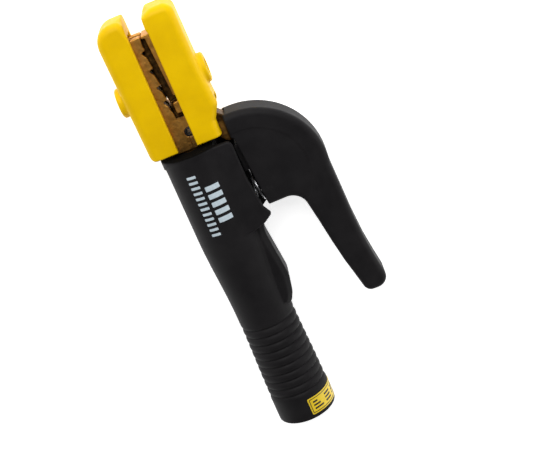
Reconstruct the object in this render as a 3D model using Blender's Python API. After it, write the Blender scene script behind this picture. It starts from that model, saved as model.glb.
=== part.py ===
"""Tongs-type welding electrode holder, lying on its side.

Design frame, in millimetres: the handle's axis is Y, with y = 0 at the cable end
and the jaw tips at the largest y. +X points to the lever, and z = 0 is the
mid-plane that the lever swings in. The empty holder_frame moves that frame so
that the model's origin is the bottom centre of the whole object.
"""
import math

import bmesh
import bpy
from mathutils import Matrix, Vector

MM = 0.001
GAP = 0.3              # clearance between neighbouring pieces

# Driving dimensions of the whole holder
TIP_Y = 262.0          # insulator tips
FRONT_Y = 179.4        # front face of the handle
PIVOT = (2.8, 190.0)   # lever pivot, x and y
JAW_X = -1.4           # plane between the two jaws

# Handle
HANDLE_R = 18.9        # round housing behind the jaws
BEAD_R = 19.6          # raised band at the front end
BEAD_LENGTH = 6.5
WAIST_R = 16.7         # slimmest part of the grip
WAIST_Y = 72.0
COLLAR_R = 18.0        # plain collar at the cable end
COLLAR_LENGTH = 16.0
END_FILLET = 1.6
RIB_COUNT = 10
RIB_PITCH = 5.16
RIB_FIRST_Y = 18.6     # centre of the rearmost groove
RIB_DEPTH = 1.1
RIB_HALF_GROOVE = 1.3
CABLE_BORE_R = 12.5
CABLE_BORE_END = 97.0
SOCKET_BORE_R = 10.6
SOCKET_BORE_END = 159.0
STEM_BORE_R = 7.6
HANDLE_SCREW_Y = 168.0

# Spring housing on the lever side of the handle
BOX_HALF_Z = 16.3
BOX_FRONT = (22.5, 178.9)       # lever-side corner at the front
BOX_BEND = (22.6, 155.0)        # where the lever-side wall starts to slope outwards
BOX_WALL_END = (24.9, 135.5)    # where the wall steepens towards the rear
BOX_REAR = (27.9, 130.4)
BOX_CORNER = 3.5
TROUGH_FLOOR_X = 12.2
TROUGH_HALF_Z = 13.2
TROUGH_REAR_Y = 126.5

# Thumb rest behind the spring housing
REST_HALF_Z = 10.5
REST_CHAMFER = 3.0

# Jaws
JAW_HALF_Z = 7.6
JAW_DEPTH = 12.6       # from the jaw plane to the back of a jaw
JAW_TIP_Y = 249.4
POCKET_END_Y = 251.8   # how far the insulators' pockets run past the jaw tips
EAR_FRONT_Y = 199.8
EAR_REAR_Y = 180.0
EAR_X = 8.2
EAR_INNER_Z = 4.8
STEM_R = 7.2
STEM_END_Y = 141.0
LAND_X = JAW_X - 0.25  # gripping edge between the notches
NOTCH_YS = (210.2, 219.2, 229.3, 240.1)
NOTCH_DEPTH = 2.1
TONGUE_HALF_Z = 4.4
BLADE_REAR_Y = 201.9
RIB_HALF_Z = 2.2
TAIL_HALF_Z = 5.8
TAIL_END_X = 42.0
TAIL_SCREW = (34.0, 181.8)

# Insulators over the jaws
INS_HALF_Z = 12.5
INS_OUTER = 23.1       # jaw plane to outer face
INS_INNER = 5.7        # jaw plane to the open side
INS_REAR_Y = 182.0
INS_CORNER = 8.5
INS_EDGE = 4.5         # radius of the two outer edges
INS_INNER_EDGE = 1.2   # radius of the two edges beside the jaws
BOSS_R = 8.6
FIXED_BOSS = (217.6, 3.0)    # place along the handle, height over INS_OUTER
MOVING_BOSS = (219.0, 4.1)
RECESS_R = 5.2
RECESS_DEPTH = 3.4

# Lever
LEVER_HALF_Z = 11.0
ARCH_CENTRE = (27.3, 149.6)
ARCH_R = 42.0
ARM_TIP_R = 6.7
LEVER_EDGE = 3.2
LEVER_WEB = [(30.0, 156.0), (22.6, 156.0), (21.9, 171.2), (22.8, 172.2), (30.0, 172.2)]
LEVER_WEB_Z = (-9.7, 6.0)       # web that closes the gap to the spring housing
LEVER_SKIRT = [(31.0, 138.5), (24.9, 137.2), (22.2, 171.2), (23.1, 172.0), (30.0, 172.0)]
LEVER_SKIRT_Z = (-10.3, -9.2)   # its lower continuation on the screw side
SPRING_Y = 142.8
SPRING_R = 7.4         # centre line of the wire
WIRE_R = 0.75
SPRING_TURNS = 5.0
SPRING_PHASE = 0.35    # turn at which the wire starts
SPRING_POCKET_R = 9.0
SPRING_POCKET_X = 34.0
SPRING_SEAT_R = 8.6

# Fasteners and the cable clamp
PIN_R = 2.75
PIN_BORE_R = 1.7
BUSH_R = 4.0
SCREW_R = 2.0
HEAD_R = 3.9
HEAD_HEIGHT = 2.4
GRUB_R = 3.0
GRUB_YS = (124.0, 110.0)
SOCKET_R = 10.2
SOCKET_INNER_R = 7.5
SOCKET_ENDS = (100.0, 158.0)

# Printed label on the collar
LABEL_START = math.radians(10)    # measured from the near line towards the lever
LABEL_END = math.radians(112)
LABEL_YS = (3.0, 13.8)

# Whole object in the design frame, used to put the origin at its bottom centre
X_LOW = JAW_X - INS_OUTER - FIXED_BOSS[1]
X_HIGH = 74.5
Z_HALF = BEAD_R

COLOURS = {
    "black_nylon": ((0.028, 0.026, 0.027), 0.48, 0.0),
    "yellow_nylon": ((0.86, 0.60, 0.01), 0.42, 0.0),
    "cast_brass": ((0.46, 0.27, 0.12), 0.45, 1.0),
    "dark_steel": ((0.09, 0.09, 0.10), 0.45, 1.0),
    "spring_steel": ((0.55, 0.56, 0.58), 0.28, 1.0),
    "zinc_steel": ((0.62, 0.63, 0.64), 0.35, 1.0),
    "copper_strip": ((0.75, 0.38, 0.22), 0.38, 1.0),
    "label_film": ((0.92, 0.66, 0.03), 0.35, 0.0),
}


# ---------------------------------------------------------------- scene tools

def clear_scene():
    for item in list(bpy.data.objects):
        bpy.data.objects.remove(item, do_unlink=True)


def material(name):
    """Principled material from the colour table."""
    found = bpy.data.materials.get(name)
    if found:
        return found
    colour, roughness, metallic = COLOURS[name]
    made = bpy.data.materials.new(name)
    made.use_nodes = True
    shader = made.node_tree.nodes["Principled BSDF"]
    shader.inputs["Base Color"].default_value = (*colour, 1.0)
    shader.inputs["Roughness"].default_value = roughness
    shader.inputs["Metallic"].default_value = metallic
    return made


def empty(name, place, parent=None):
    made = bpy.data.objects.new(name, None)
    made.empty_display_size = 0.01
    made.location = Vector(place) * MM
    made.parent = parent
    bpy.context.collection.objects.link(made)
    return made


def add_part(name, bm, finish, parent, origin=(0, 0, 0)):
    """Object whose origin is origin, in design millimetres, under an empty."""
    bmesh.ops.recalc_face_normals(bm, faces=bm.faces)
    bmesh.ops.translate(bm, verts=bm.verts, vec=-Vector(origin))
    bmesh.ops.scale(bm, verts=bm.verts, vec=(MM, MM, MM))
    mesh = bpy.data.meshes.new(name)
    bm.to_mesh(mesh)
    bm.free()
    mesh.shade_smooth()
    mesh.set_sharp_from_angle(angle=math.radians(35))
    made = bpy.data.objects.new(name, mesh)
    made.parent = parent
    made.location = (Vector(origin) - Vector(parent["design_place"])) * MM
    mesh.materials.append(material(finish))
    bpy.context.collection.objects.link(made)
    return made


def helper(name, bm, parent, round_edges=0.0, steps=2):
    """Shape that only cuts or fuses; it isn't part of the holder."""
    made = add_part(name, bm, "dark_steel", parent)
    made.hide_render = True
    made.display_type = "WIRE"
    if round_edges:
        bevel(made, round_edges, steps)
    return made


def boolean(target, operand, operation):
    step = target.modifiers.new(operation.lower(), "BOOLEAN")
    step.operation = operation
    step.object = operand


def cut(target, *operands):
    for operand in operands:
        boolean(target, operand, "DIFFERENCE")


def fuse(target, *operands):
    for operand in operands:
        boolean(target, operand, "UNION")


def bevel(target, width, steps=2, angle=40):
    step = target.modifiers.new("edges", "BEVEL")
    step.width = width * MM
    step.segments = steps
    step.limit_method = "ANGLE"
    step.angle_limit = math.radians(angle)
    step.use_clamp_overlap = False


# ------------------------------------------------------------- shape builders

def arc(centre, radius, start, end, steps):
    """Points on a circle from start to end, in degrees."""
    points = []
    for index in range(steps + 1):
        angle = math.radians(start + (end - start) * index / steps)
        points.append((centre[0] + radius * math.cos(angle), centre[1] + radius * math.sin(angle)))
    return points


def rounded(corners, steps=5):
    """Closed outline through (x, y, radius) corners, each radius drawn as an arc."""
    outline = []
    for index, (x, y, radius) in enumerate(corners):
        corner = Vector((x, y))
        if radius <= 0:
            outline.append((x, y))
            continue
        before = (Vector(corners[index - 1][:2]) - corner).normalized()
        after = (Vector(corners[(index + 1) % len(corners)][:2]) - corner).normalized()
        half = before.angle(after) / 2
        centre = corner + (before + after).normalized() * radius / math.sin(half)
        start = corner + before * radius / math.tan(half) - centre
        end = corner + after * radius / math.tan(half) - centre
        turn = start.angle_signed(end)
        for step in range(steps + 1):
            share = turn * step / steps
            point = centre + Matrix.Rotation(-share, 2) @ start
            outline.append((point.x, point.y))
    return outline


def prism(outline, low, high, plane="XY"):
    """Closed outline pushed straight from low to high along the third axis."""
    bm = bmesh.new()
    where = {
        "XY": lambda a, b, c: (a, b, c),
        "XZ": lambda a, b, c: (a, c, b),
        "YZ": lambda a, b, c: (c, a, b),
    }[plane]
    base = [bm.verts.new(where(a, b, low)) for a, b in outline]
    top = [bm.verts.new(where(a, b, high)) for a, b in outline]
    bm.faces.new(base)
    bm.faces.new(list(reversed(top)))
    for index in range(len(outline)):
        after = (index + 1) % len(outline)
        bm.faces.new((base[index], top[index], top[after], base[after]))
    return bm


def block(x, y, z):
    """Rectangular solid between pairs of limits."""
    return prism([(x[0], y[0]), (x[1], y[0]), (x[1], y[1]), (x[0], y[1])], *z)


def loft(sections):
    """Solid through rings of (x, y, z) points, all with the same number of points."""
    bm = bmesh.new()
    rings = [[bm.verts.new(point) for point in section] for section in sections]
    for first, second in zip(rings, rings[1:]):
        for index in range(len(first)):
            after = (index + 1) % len(first)
            bm.faces.new((first[index], first[after], second[after], second[index]))
    bm.faces.new(rings[0])
    bm.faces.new(rings[-1])
    return bm


def turned(profile, segments, axis="Y", centre=(0, 0), closed=False):
    """Solid of revolution from (along, radius) points.

    closed joins the last point to the first, for tubes and rings. Otherwise the
    profile starts and ends on the axis. centre gives the two coordinates across
    the axis, in X, Y, Z order.
    """
    places = {
        "X": lambda along, a, b: (along, centre[0] + a, centre[1] + b),
        "Y": lambda along, a, b: (centre[0] + a, along, centre[1] + b),
        "Z": lambda along, a, b: (centre[0] + a, centre[1] + b, along),
    }
    place = places[axis]
    bm = bmesh.new()
    rings = []
    for along, radius in profile:
        if radius <= 0:
            rings.append([bm.verts.new(place(along, 0, 0))])
            continue
        ring = []
        for index in range(segments):
            angle = 2 * math.pi * index / segments
            ring.append(bm.verts.new(place(along, radius * math.cos(angle), radius * math.sin(angle))))
        rings.append(ring)
    pairs = list(zip(rings, rings[1:]))
    if closed:
        pairs.append((rings[-1], rings[0]))
    for first, second in pairs:
        for index in range(segments):
            after = (index + 1) % segments
            corners = [first[index % len(first)], first[after % len(first)],
                       second[after % len(second)], second[index % len(second)]]
            unique = list(dict.fromkeys(corners))
            if len(unique) > 2:
                bm.faces.new(unique)
    return bm


def cylinder(low, high, radius, axis, centre, segments=20):
    return turned([(low, 0), (low, radius), (high, radius), (high, 0)], segments, axis, centre)


def ring_tube(low, high, inner, outer, axis, centre, segments=24):
    profile = [(low, inner), (low, outer), (high, outer), (high, inner)]
    return turned(profile, segments, axis, centre, closed=True)


# ---------------------------------------------------------------- the handle

def grip_radius(y):
    """Outer radius of the plain grip, slimmest at the waist."""
    if y < WAIST_Y:
        share = max(0.0, (y - COLLAR_LENGTH) / (WAIST_Y - COLLAR_LENGTH))
        return COLLAR_R - 0.2 + (WAIST_R - COLLAR_R + 0.2) * (1 - math.cos(math.pi * share)) / 2
    share = min(1.0, (y - WAIST_Y) / 56.0)
    return WAIST_R + (HANDLE_R - WAIST_R) * (1 - math.cos(math.pi * share)) / 2


def handle_profile():
    """Outer (y, radius) profile of the handle, from the cable end to the front."""
    profile = [(0.0, 0.0), (0.0, COLLAR_R - END_FILLET)]
    for angle in (30, 60, 90):
        turn = math.radians(angle)
        profile.append((END_FILLET * (1 - math.cos(turn)),
                        COLLAR_R - END_FILLET * (1 - math.sin(turn))))
    profile.append((COLLAR_LENGTH, COLLAR_R))
    for index in range(RIB_COUNT):
        y = RIB_FIRST_Y + index * RIB_PITCH
        profile.append((y - RIB_HALF_GROOVE, grip_radius(y)))
        profile.append((y, grip_radius(y) - RIB_DEPTH))
        profile.append((y + RIB_HALF_GROOVE, grip_radius(y)))
    for y in (76.0, 90.0, 104.0, 116.0, 128.0):
        profile.append((y, grip_radius(y)))
    bead_start = FRONT_Y - BEAD_LENGTH
    profile.append((bead_start, HANDLE_R))
    profile.append((bead_start + 0.4, BEAD_R))
    profile.append((FRONT_Y - 0.8, BEAD_R))
    profile.append((FRONT_Y, BEAD_R - 0.8))
    profile.append((FRONT_Y, 0.0))
    return profile


def make_handle(frame):
    """Moulded sleeve: ribbed grip, thumb rest, and the open spring housing."""
    sleeve = add_part("handle_sleeve", turned(handle_profile(), 40), "black_nylon", frame)
    box = rounded([(2, BOX_FRONT[1], 0), (*BOX_FRONT, BOX_CORNER), (*BOX_BEND, 30), (*BOX_WALL_END, 3),
                   (*BOX_REAR, 2), (22.5, 126.8, 2), (14.0, 123.8, 0), (2, 123.8, 0)])
    fuse(sleeve, helper("spring_box_shape", prism(box, -BOX_HALF_Z, BOX_HALF_Z), frame, 1.2))
    rest = rounded([(2, 127.5, 0), (21.0, 127.5, 0), (19.4, 117.0, 12), (22.3, 89.0, 14),
                    (20.4, 78.0, 8), (17.6, 71.8, 4), (2, 69.5, 0)], 4)
    fuse(sleeve, helper("thumb_rest_shape", prism(rest, -REST_HALF_Z, REST_HALF_Z), frame,
                        REST_CHAMFER, 1))
    bore = [(-2, 0), (-2, CABLE_BORE_R), (CABLE_BORE_END, CABLE_BORE_R),
            (CABLE_BORE_END, SOCKET_BORE_R), (SOCKET_BORE_END, SOCKET_BORE_R),
            (SOCKET_BORE_END, STEM_BORE_R), (FRONT_Y + 2, STEM_BORE_R), (FRONT_Y + 2, 0)]
    cut(sleeve, helper("bore_cut", turned(bore, 32), frame))
    trough = block((TROUGH_FLOOR_X, 50), (TROUGH_REAR_Y, FRONT_Y + 5), (-TROUGH_HALF_Z, TROUGH_HALF_Z))
    cut(sleeve, helper("trough_cut", trough, frame))
    screw_hole = [(-30, 0), (-30, 5.0), (-HANDLE_R + 3.0, 5.0), (-HANDLE_R + 3.0, SCREW_R + GAP),
                  (0, SCREW_R + GAP), (0, 0)]
    cut(sleeve, helper("handle_screw_cut", turned(screw_hole, 20, "Z", (0, HANDLE_SCREW_Y)), frame))
    return sleeve


def make_label(frame):
    """Film label wrapped round the collar."""
    steps = 14
    inner = COLLAR_R + GAP
    outer = inner + 0.2
    rim = []
    for radius, order in ((inner, range(steps + 1)), (outer, range(steps, -1, -1))):
        for index in order:
            angle = math.pi / 2 - LABEL_START - (LABEL_END - LABEL_START) * index / steps
            rim.append((radius * math.cos(angle), radius * math.sin(angle)))
    add_part("collar_label", prism(rim, *LABEL_YS, plane="XZ"), "label_film", frame)


# ------------------------------------------------------- fixed jaw and socket

def jaw_teeth():
    """Gripping edge of the fixed jaw, ear to tip: lands that rise towards the handle, and notches
    that are steep on the side of the tip."""
    points = []
    bottom = LAND_X - NOTCH_DEPTH
    for y in NOTCH_YS:
        points += [(LAND_X - 0.5, y - 2.7), (bottom, y - 0.4), (bottom, y + 0.5), (LAND_X - 0.2, y + 1.1),
                   (LAND_X + 0.3, y + 1.6)]
    return points


def make_fixed_jaw(frame):
    """Cast jaw with the toothed channel, the two pivot ears and the round stem."""
    back = JAW_X - JAW_DEPTH
    outline = [(back, EAR_FRONT_Y + 2), (JAW_X + 0.8, EAR_FRONT_Y - 2), (LAND_X + 0.3, EAR_FRONT_Y + 2)]
    outline += jaw_teeth()
    outline += [(LAND_X - 0.1, JAW_TIP_Y - 5.9), (LAND_X + 0.4, JAW_TIP_Y - 1.0), (LAND_X - 0.4, JAW_TIP_Y),
                (back + 2, JAW_TIP_Y), (back, JAW_TIP_Y - 2)]
    jaw = add_part("fixed_jaw", prism(outline, -JAW_HALF_Z, JAW_HALF_Z), "cast_brass", frame,
                   (JAW_X, EAR_FRONT_Y, 0))
    ears = rounded([(back, EAR_REAR_Y, 0), (4.4, EAR_REAR_Y, 2), (EAR_X, 185.4, 3),
                    (EAR_X, EAR_FRONT_Y, 1.5), (JAW_X + 0.8, EAR_FRONT_Y, 0),
                    (LAND_X, EAR_FRONT_Y + 4, 0), (back, EAR_FRONT_Y + 4, 0)])
    fuse(jaw, helper("ear_shape", prism(ears, -JAW_HALF_Z, JAW_HALF_Z), frame))
    stem = cylinder(STEM_END_Y, 184.0, STEM_R, "Y", (0, 0), 24)
    tongue_way = block((-8.0, 20), (EAR_REAR_Y - 2, EAR_FRONT_Y + 2), (-EAR_INNER_Z, EAR_INNER_Z))
    cut(jaw, helper("tongue_way_cut", tongue_way, frame))
    fuse(jaw, helper("stem_shape", stem, frame))
    scoop = cylinder(-EAR_INNER_Z, EAR_INNER_Z, 9.3, "Z", PIVOT, 28)
    cut(jaw, helper("tongue_scoop_cut", scoop, frame))
    channel = block((-7.5, 20), (EAR_FRONT_Y - 1, TIP_Y), (-2.5, 2.5))
    cut(jaw, helper("channel_cut", channel, frame))
    cut(jaw, helper("ear_bore_cut", cylinder(-20, 20, PIN_R + GAP, "Z", PIVOT, 20), frame))
    tap = cylinder(back - 1, JAW_X - 7.9, SCREW_R + GAP, "X", (FIXED_BOSS[0], 0), 16)
    cut(jaw, helper("jaw_tap_cut", tap, frame))
    stem_tap = cylinder(-STEM_R - 2, -1.2, SCREW_R + GAP, "Z", (0, HANDLE_SCREW_Y), 16)
    cut(jaw, helper("stem_tap_cut", stem_tap, frame))
    return jaw


def make_cable_clamp(frame):
    """Brass socket brazed to the stem, with two grub screws on a copper strip."""
    socket = add_part("cable_socket", ring_tube(*SOCKET_ENDS, SOCKET_INNER_R, SOCKET_R, "Y", (0, 0), 32),
                      "cast_brass", frame, (0, SOCKET_ENDS[0], 0))
    for name, y in zip(("clamp_screw_front", "clamp_screw_rear"), GRUB_YS):
        cut(socket, helper(name + "_cut", cylinder(-20, 0, GRUB_R + GAP, "X", (y, 0), 20), frame))
        grub = turned([(-10.0, 0), (-10.0, GRUB_R - 0.4), (-9.6, GRUB_R), (-5.8, GRUB_R),
                       (-5.3, GRUB_R - 0.5), (-5.3, 0)], 18, "X", (y, 0))
        screw = add_part(name, grub, "dark_steel", frame, (-10.0, y, 0))
        hexagon = turned([(-11, 0), (-11, 1.6), (-7.6, 1.6), (-7.6, 0)], 6, "X", (y, 0))
        cut(screw, helper(name + "_key_cut", hexagon, frame))
    strip = prism([(-4.9, -3.6), (-3.9, -4.2), (-3.9, 4.2), (-4.9, 3.6)], 103.0, 133.0, "XZ")
    add_part("cable_pressure_strip", strip, "copper_strip", frame, (-4.4, 118.0, 0))


def pan_head_screw(name, low, high, axis, centre, parent, frame, origin, finish="zinc_steel"):
    """Pan-headed screw from its head face at low to its point at high, with a cross recess."""
    step = 1 if high > low else -1
    profile = [(low, 0), (low, HEAD_R - 1.0), (low + 0.7 * step, HEAD_R - 0.2),
               (low + HEAD_HEIGHT * step, HEAD_R), (low + HEAD_HEIGHT * step, SCREW_R),
               (high - 1.2 * step, SCREW_R), (high, 0.5), (high, 0)]
    screw = add_part(name, turned(profile, 20, axis, centre), finish, parent, origin)
    reach = 1.5 * step
    limits = sorted((low - step, low + reach))
    for index, (wide, narrow) in enumerate(((2.2, 0.45), (0.45, 2.2))):
        first = (centre[0] - wide, centre[0] + wide)
        second = (centre[1] - narrow, centre[1] + narrow)
        spans = (limits, first, second) if axis == "X" else (first, second, limits)
        cut(screw, helper(f"{name}_slot_{index}", block(*spans), frame))
    return screw


def insulator_section(y, inner, outer, half_z, outer_r, inner_r):
    """Ring across an insulator: large radius on the outer edges, small on the open side.

    inner and outer are distances from the jaw plane, before mirroring.
    """
    corners = [(outer, half_z, outer_r), (outer, -half_z, outer_r),
               (inner, -half_z, inner_r), (inner, half_z, inner_r)]
    return [(x, y, z) for x, z in rounded(corners, 4)]


def end_rounding(radius, steps):
    """(along, inset) pairs of a quarter round, from the end face inwards."""
    pairs = []
    for index in range(steps + 1):
        turn = math.pi / 2 * index / steps
        pairs.append((radius * (1 - math.sin(turn)), radius * (1 - math.cos(turn))))
    return pairs


def fixed_insulator_rings():
    """Rings from the rear to the tip, whose outer corner is strongly rounded."""
    rings = []
    for along, inset in reversed(end_rounding(3.5, 3)):
        rings.append((INS_REAR_Y + along, INS_INNER, INS_OUTER - 1.2 - inset, INS_HALF_Z - 0.35 * inset))
    rings.sort()
    for along, inset in sorted(end_rounding(INS_CORNER, 6), reverse=True):
        near_end = min(along, 2.5)
        edge = 2.5 - math.sqrt(max(0.0, 2.5 ** 2 - (2.5 - near_end) ** 2))
        rings.append((TIP_Y - along, INS_INNER + 0.15 * edge, INS_OUTER - inset, INS_HALF_Z - 0.8 * edge))
    return rings


def moving_insulator_rings():
    """Rings from the rear to the tip: cut back for the tail, flared, then straight."""
    cut_back = 19.3 - JAW_X
    flare = INS_OUTER + 1.9
    rings = [(INS_REAR_Y, INS_INNER + 0.4, cut_back - 0.8, INS_HALF_Z - 1.0),
             (INS_REAR_Y + 0.8, INS_INNER, cut_back, INS_HALF_Z - 0.3),
             (INS_REAR_Y + 2.0, INS_INNER, cut_back, INS_HALF_Z),
             (190.5, INS_INNER, cut_back, INS_HALF_Z),
             (193.0, INS_INNER, cut_back + 1.6, INS_HALF_Z),
             (196.5, INS_INNER, flare - 0.6, INS_HALF_Z),
             (199.5, INS_INNER, flare, INS_HALF_Z),
             (204.0, INS_INNER, flare - 0.1, INS_HALF_Z),
             (229.0, INS_INNER, INS_OUTER + 0.2, INS_HALF_Z),
             (249.6, INS_INNER, INS_OUTER, INS_HALF_Z),
             (252.4, INS_INNER - 0.7, INS_OUTER, INS_HALF_Z)]
    for along, inset in sorted(end_rounding(6.0, 5), reverse=True):
        near_end = min(along, 2.5)
        edge = 2.5 - math.sqrt(max(0.0, 2.5 ** 2 - (2.5 - near_end) ** 2))
        rings.append((TIP_Y - along, INS_INNER - 0.8 + 0.55 * inset, INS_OUTER - inset,
                      INS_HALF_Z - 0.8 * edge))
    return rings


def make_insulator(name, rings, side, boss_place, parent, frame, origin):
    """Half shell over one jaw, with a round boss, a screw recess and the jaw pocket."""
    sections = []
    for y, inner, outer, half_z in rings:
        section = insulator_section(y, inner, outer, half_z, INS_EDGE, INS_INNER_EDGE)
        sections.append([(JAW_X + side * x, along, z) for x, along, z in section])
    shell = add_part(name, loft(sections), "yellow_nylon", parent, origin)
    boss_y, boss_height = boss_place
    outside = JAW_X + side * INS_OUTER
    face = outside + side * boss_height
    boss = turned([(outside - side * 6, 0), (outside - side * 6, BOSS_R), (face - side * 0.8, BOSS_R),
                   (face, BOSS_R - 0.8), (face, 0)], 28, "X", (boss_y, 0))
    fuse(shell, helper(name + "_boss_shape", boss, frame))
    seat = face - side * RECESS_DEPTH
    inside = JAW_X + side * (JAW_DEPTH - 2)
    recess = turned([(face + side * 5, 0), (face + side * 5, RECESS_R), (seat, RECESS_R),
                     (seat, SCREW_R + GAP), (inside, SCREW_R + GAP), (inside, 0)], 24, "X", (boss_y, 0))
    cut(shell, helper(name + "_recess_cut", recess, frame))
    pocket_back = JAW_X + side * (JAW_DEPTH + GAP)
    low, high = sorted((pocket_back, JAW_X - side * 5))
    pocket = block((low, high), (INS_REAR_Y - 5, POCKET_END_Y), (-JAW_HALF_Z - GAP, JAW_HALF_Z + GAP))
    cut(shell, helper(name + "_pocket_cut", pocket, frame))
    return shell


def make_washer(name, side, boss_place, parent):
    """Flat washer under an insulator screw."""
    boss_y, boss_height = boss_place
    seat = JAW_X + side * (INS_OUTER + boss_height - RECESS_DEPTH)
    low, high = sorted((seat + side * 0.15, seat + side * 0.65))
    add_part(name, ring_tube(low, high, SCREW_R + GAP, RECESS_R - 0.5, "X", (boss_y, 0)),
             "zinc_steel", parent, (seat, boss_y, 0))


def make_insulator_screw(name, side, boss_place, parent, frame):
    """Screw in an insulator boss, its head seated on the washer."""
    boss_y, boss_height = boss_place
    seat = JAW_X + side * (INS_OUTER + boss_height - RECESS_DEPTH + 0.8)
    face = seat + side * HEAD_HEIGHT
    end = JAW_X + side * 8.4
    pan_head_screw(name, face, end, "X", (boss_y, 0), parent, frame, (face, boss_y, 0))


# ---------------------------------------------------------------- moving side

def make_moving_jaw(lever_axis, frame):
    """Cast jaw with its middle rib, the tongue round the pivot and the tail in the lever."""
    back = JAW_X + JAW_DEPTH
    outline = [(JAW_X + 2.1, BLADE_REAR_Y), (back, BLADE_REAR_Y), (back, JAW_TIP_Y - 2),
               (back - 2, JAW_TIP_Y), (JAW_X + 1.0, JAW_TIP_Y), (JAW_X + 0.5, JAW_TIP_Y - 0.5),
               (JAW_X + 0.5, 247.9), (JAW_X + 2.4, 247.5), (JAW_X + 4.2, 212.4),
               (JAW_X + 6.4, 212.0), (JAW_X + 6.4, 209.0), (JAW_X + 2.1, 208.5)]
    jaw = add_part("moving_jaw", prism(outline, -JAW_HALF_Z, JAW_HALF_Z), "cast_brass", lever_axis,
                   (*PIVOT, 0))
    rib = [(JAW_X + 0.6, BLADE_REAR_Y + 0.2), (JAW_X + 0.6, 207.0), (JAW_X - 0.2, 212.0),
           (JAW_X - 2.2, 246.0), (JAW_X + 0.6, 248.4), (back - 3, 248.4),
           (back - 3, BLADE_REAR_Y + 0.2)]
    fuse(jaw, helper("rib_shape", prism(rib, -RIB_HALF_Z, RIB_HALF_Z), frame))
    tongue = arc(PIVOT, 8.0, 190, 330, 12) + [(11.5, 186.0), (back, 190.0), (back, 208.0), (-1.0, 208.0),
                                              (-1.0, 200.0)]
    fuse(jaw, helper("tongue_shape", prism(tongue, -TONGUE_HALF_Z, TONGUE_HALF_Z), frame))
    tail = rounded([(9.8, 184.8, 0), (15.2, 181.9, 3), (20.5, 176.2, 3), (TAIL_END_X, 173.8, 1.5),
                    (TAIL_END_X, 184.5, 1.5), (25.4, 189.6, 4), (12.0, 202.0, 3), (9.8, 202.0, 0)])
    fuse(jaw, helper("tail_shape", prism(tail, -TAIL_HALF_Z, TAIL_HALF_Z), frame))
    cut(jaw, helper("bush_cut", cylinder(-20, 20, BUSH_R + GAP, "Z", PIVOT, 24), frame))
    tap = cylinder(JAW_X + 7.9, back + 1, SCREW_R + GAP, "X", (MOVING_BOSS[0], 0), 16)
    cut(jaw, helper("moving_tap_cut", tap, frame))
    tail_tap = cylinder(-20, 3.0, SCREW_R + GAP, "Z", TAIL_SCREW, 16)
    cut(jaw, helper("tail_tap_cut", tail_tap, frame))
    return jaw


def lever_outline():
    """Lever in the plane of the swing: block, round arch and splayed arm.

    The block runs on below its real bottom, which make_lever cuts flat.
    """
    outline = [(20.0, 132.9), (20.0, 191.6)]
    outline += arc(ARCH_CENTRE, ARCH_R, 90, -9, 20)
    outline += [(69.3, 126.0), (69.8, 108.0), (71.0, 91.0), (72.8, 78.0)]
    outline += arc((67.8, 67.4), ARM_TIP_R, 8, -88, 8)
    outline += arc((65.0, 66.0), 5.3, 262, 195, 5)
    outline += [(57.6, 74.5), (55.3, 84.0), (52.6, 98.5), (50.2, 113.5)]
    outline += arc((38.4, 123.4), 9.9, 10, 94, 10)
    return outline


def make_lever(lever_axis, frame):
    """Moulded lever with the tail socket, the spring pocket and a screw recess."""
    lever = add_part("lever", prism(lever_outline(), -LEVER_HALF_Z, LEVER_HALF_Z), "black_nylon",
                     lever_axis, (*PIVOT, 0))
    bevel(lever, LEVER_EDGE, 3)
    below = [(0.0, 125.0), (28.6, 125.0), (24.3, 177.0), (23.0, 178.6), (23.0, 200.0), (0.0, 200.0)]
    cut(lever, helper("lever_bottom_cut", prism(below, -20, 20), frame))
    for outline, low_z, high_z in ((LEVER_WEB, *LEVER_WEB_Z), (LEVER_SKIRT, *LEVER_SKIRT_Z)):
        fuse(lever, helper("lever_web_shape", prism(outline, low_z, high_z), frame))
    socket = [(20.0, 175.9), (TAIL_END_X + GAP, 173.4), (TAIL_END_X + GAP, 184.9), (25.4, 190.1),
              (20.0, 195.1)]
    tail_room = TAIL_HALF_Z + GAP
    cut(lever, helper("tail_socket_cut", prism(socket, -tail_room, tail_room), frame))
    pocket = cylinder(15, SPRING_POCKET_X, SPRING_POCKET_R, "X", (SPRING_Y, 0), 28)
    cut(lever, helper("spring_pocket_cut", pocket, frame))
    recess = turned([(-20, 0), (-20, 5.0), (-LEVER_HALF_Z + 3.2, 5.0), (-LEVER_HALF_Z + 3.2, SCREW_R + GAP),
                     (0, SCREW_R + GAP), (0, 0)], 20, "Z", TAIL_SCREW)
    cut(lever, helper("lever_screw_cut", recess, frame))
    return lever


def make_pivot(lever_axis, frame):
    """Slotted spring pin through the ears, and the bush that turns on it."""
    slot = math.radians(12)
    steps = 16
    rim = []
    for radius, order in ((PIN_R, range(steps + 1)), (PIN_BORE_R, range(steps, -1, -1))):
        for index in order:
            angle = -math.pi / 2 + slot + (2 * math.pi - 2 * slot) * index / steps
            rim.append((PIVOT[0] + radius * math.cos(angle), PIVOT[1] + radius * math.sin(angle)))
    add_part("pivot_pin", prism(rim, -JAW_HALF_Z + 0.3, JAW_HALF_Z - 0.3), "dark_steel", frame,
             (*PIVOT, 0))
    bush = ring_tube(-TONGUE_HALF_Z, TONGUE_HALF_Z, PIN_R + GAP, BUSH_R, "Z", PIVOT)
    add_part("pivot_bush", bush, "cast_brass", lever_axis, (*PIVOT, 0))


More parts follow.
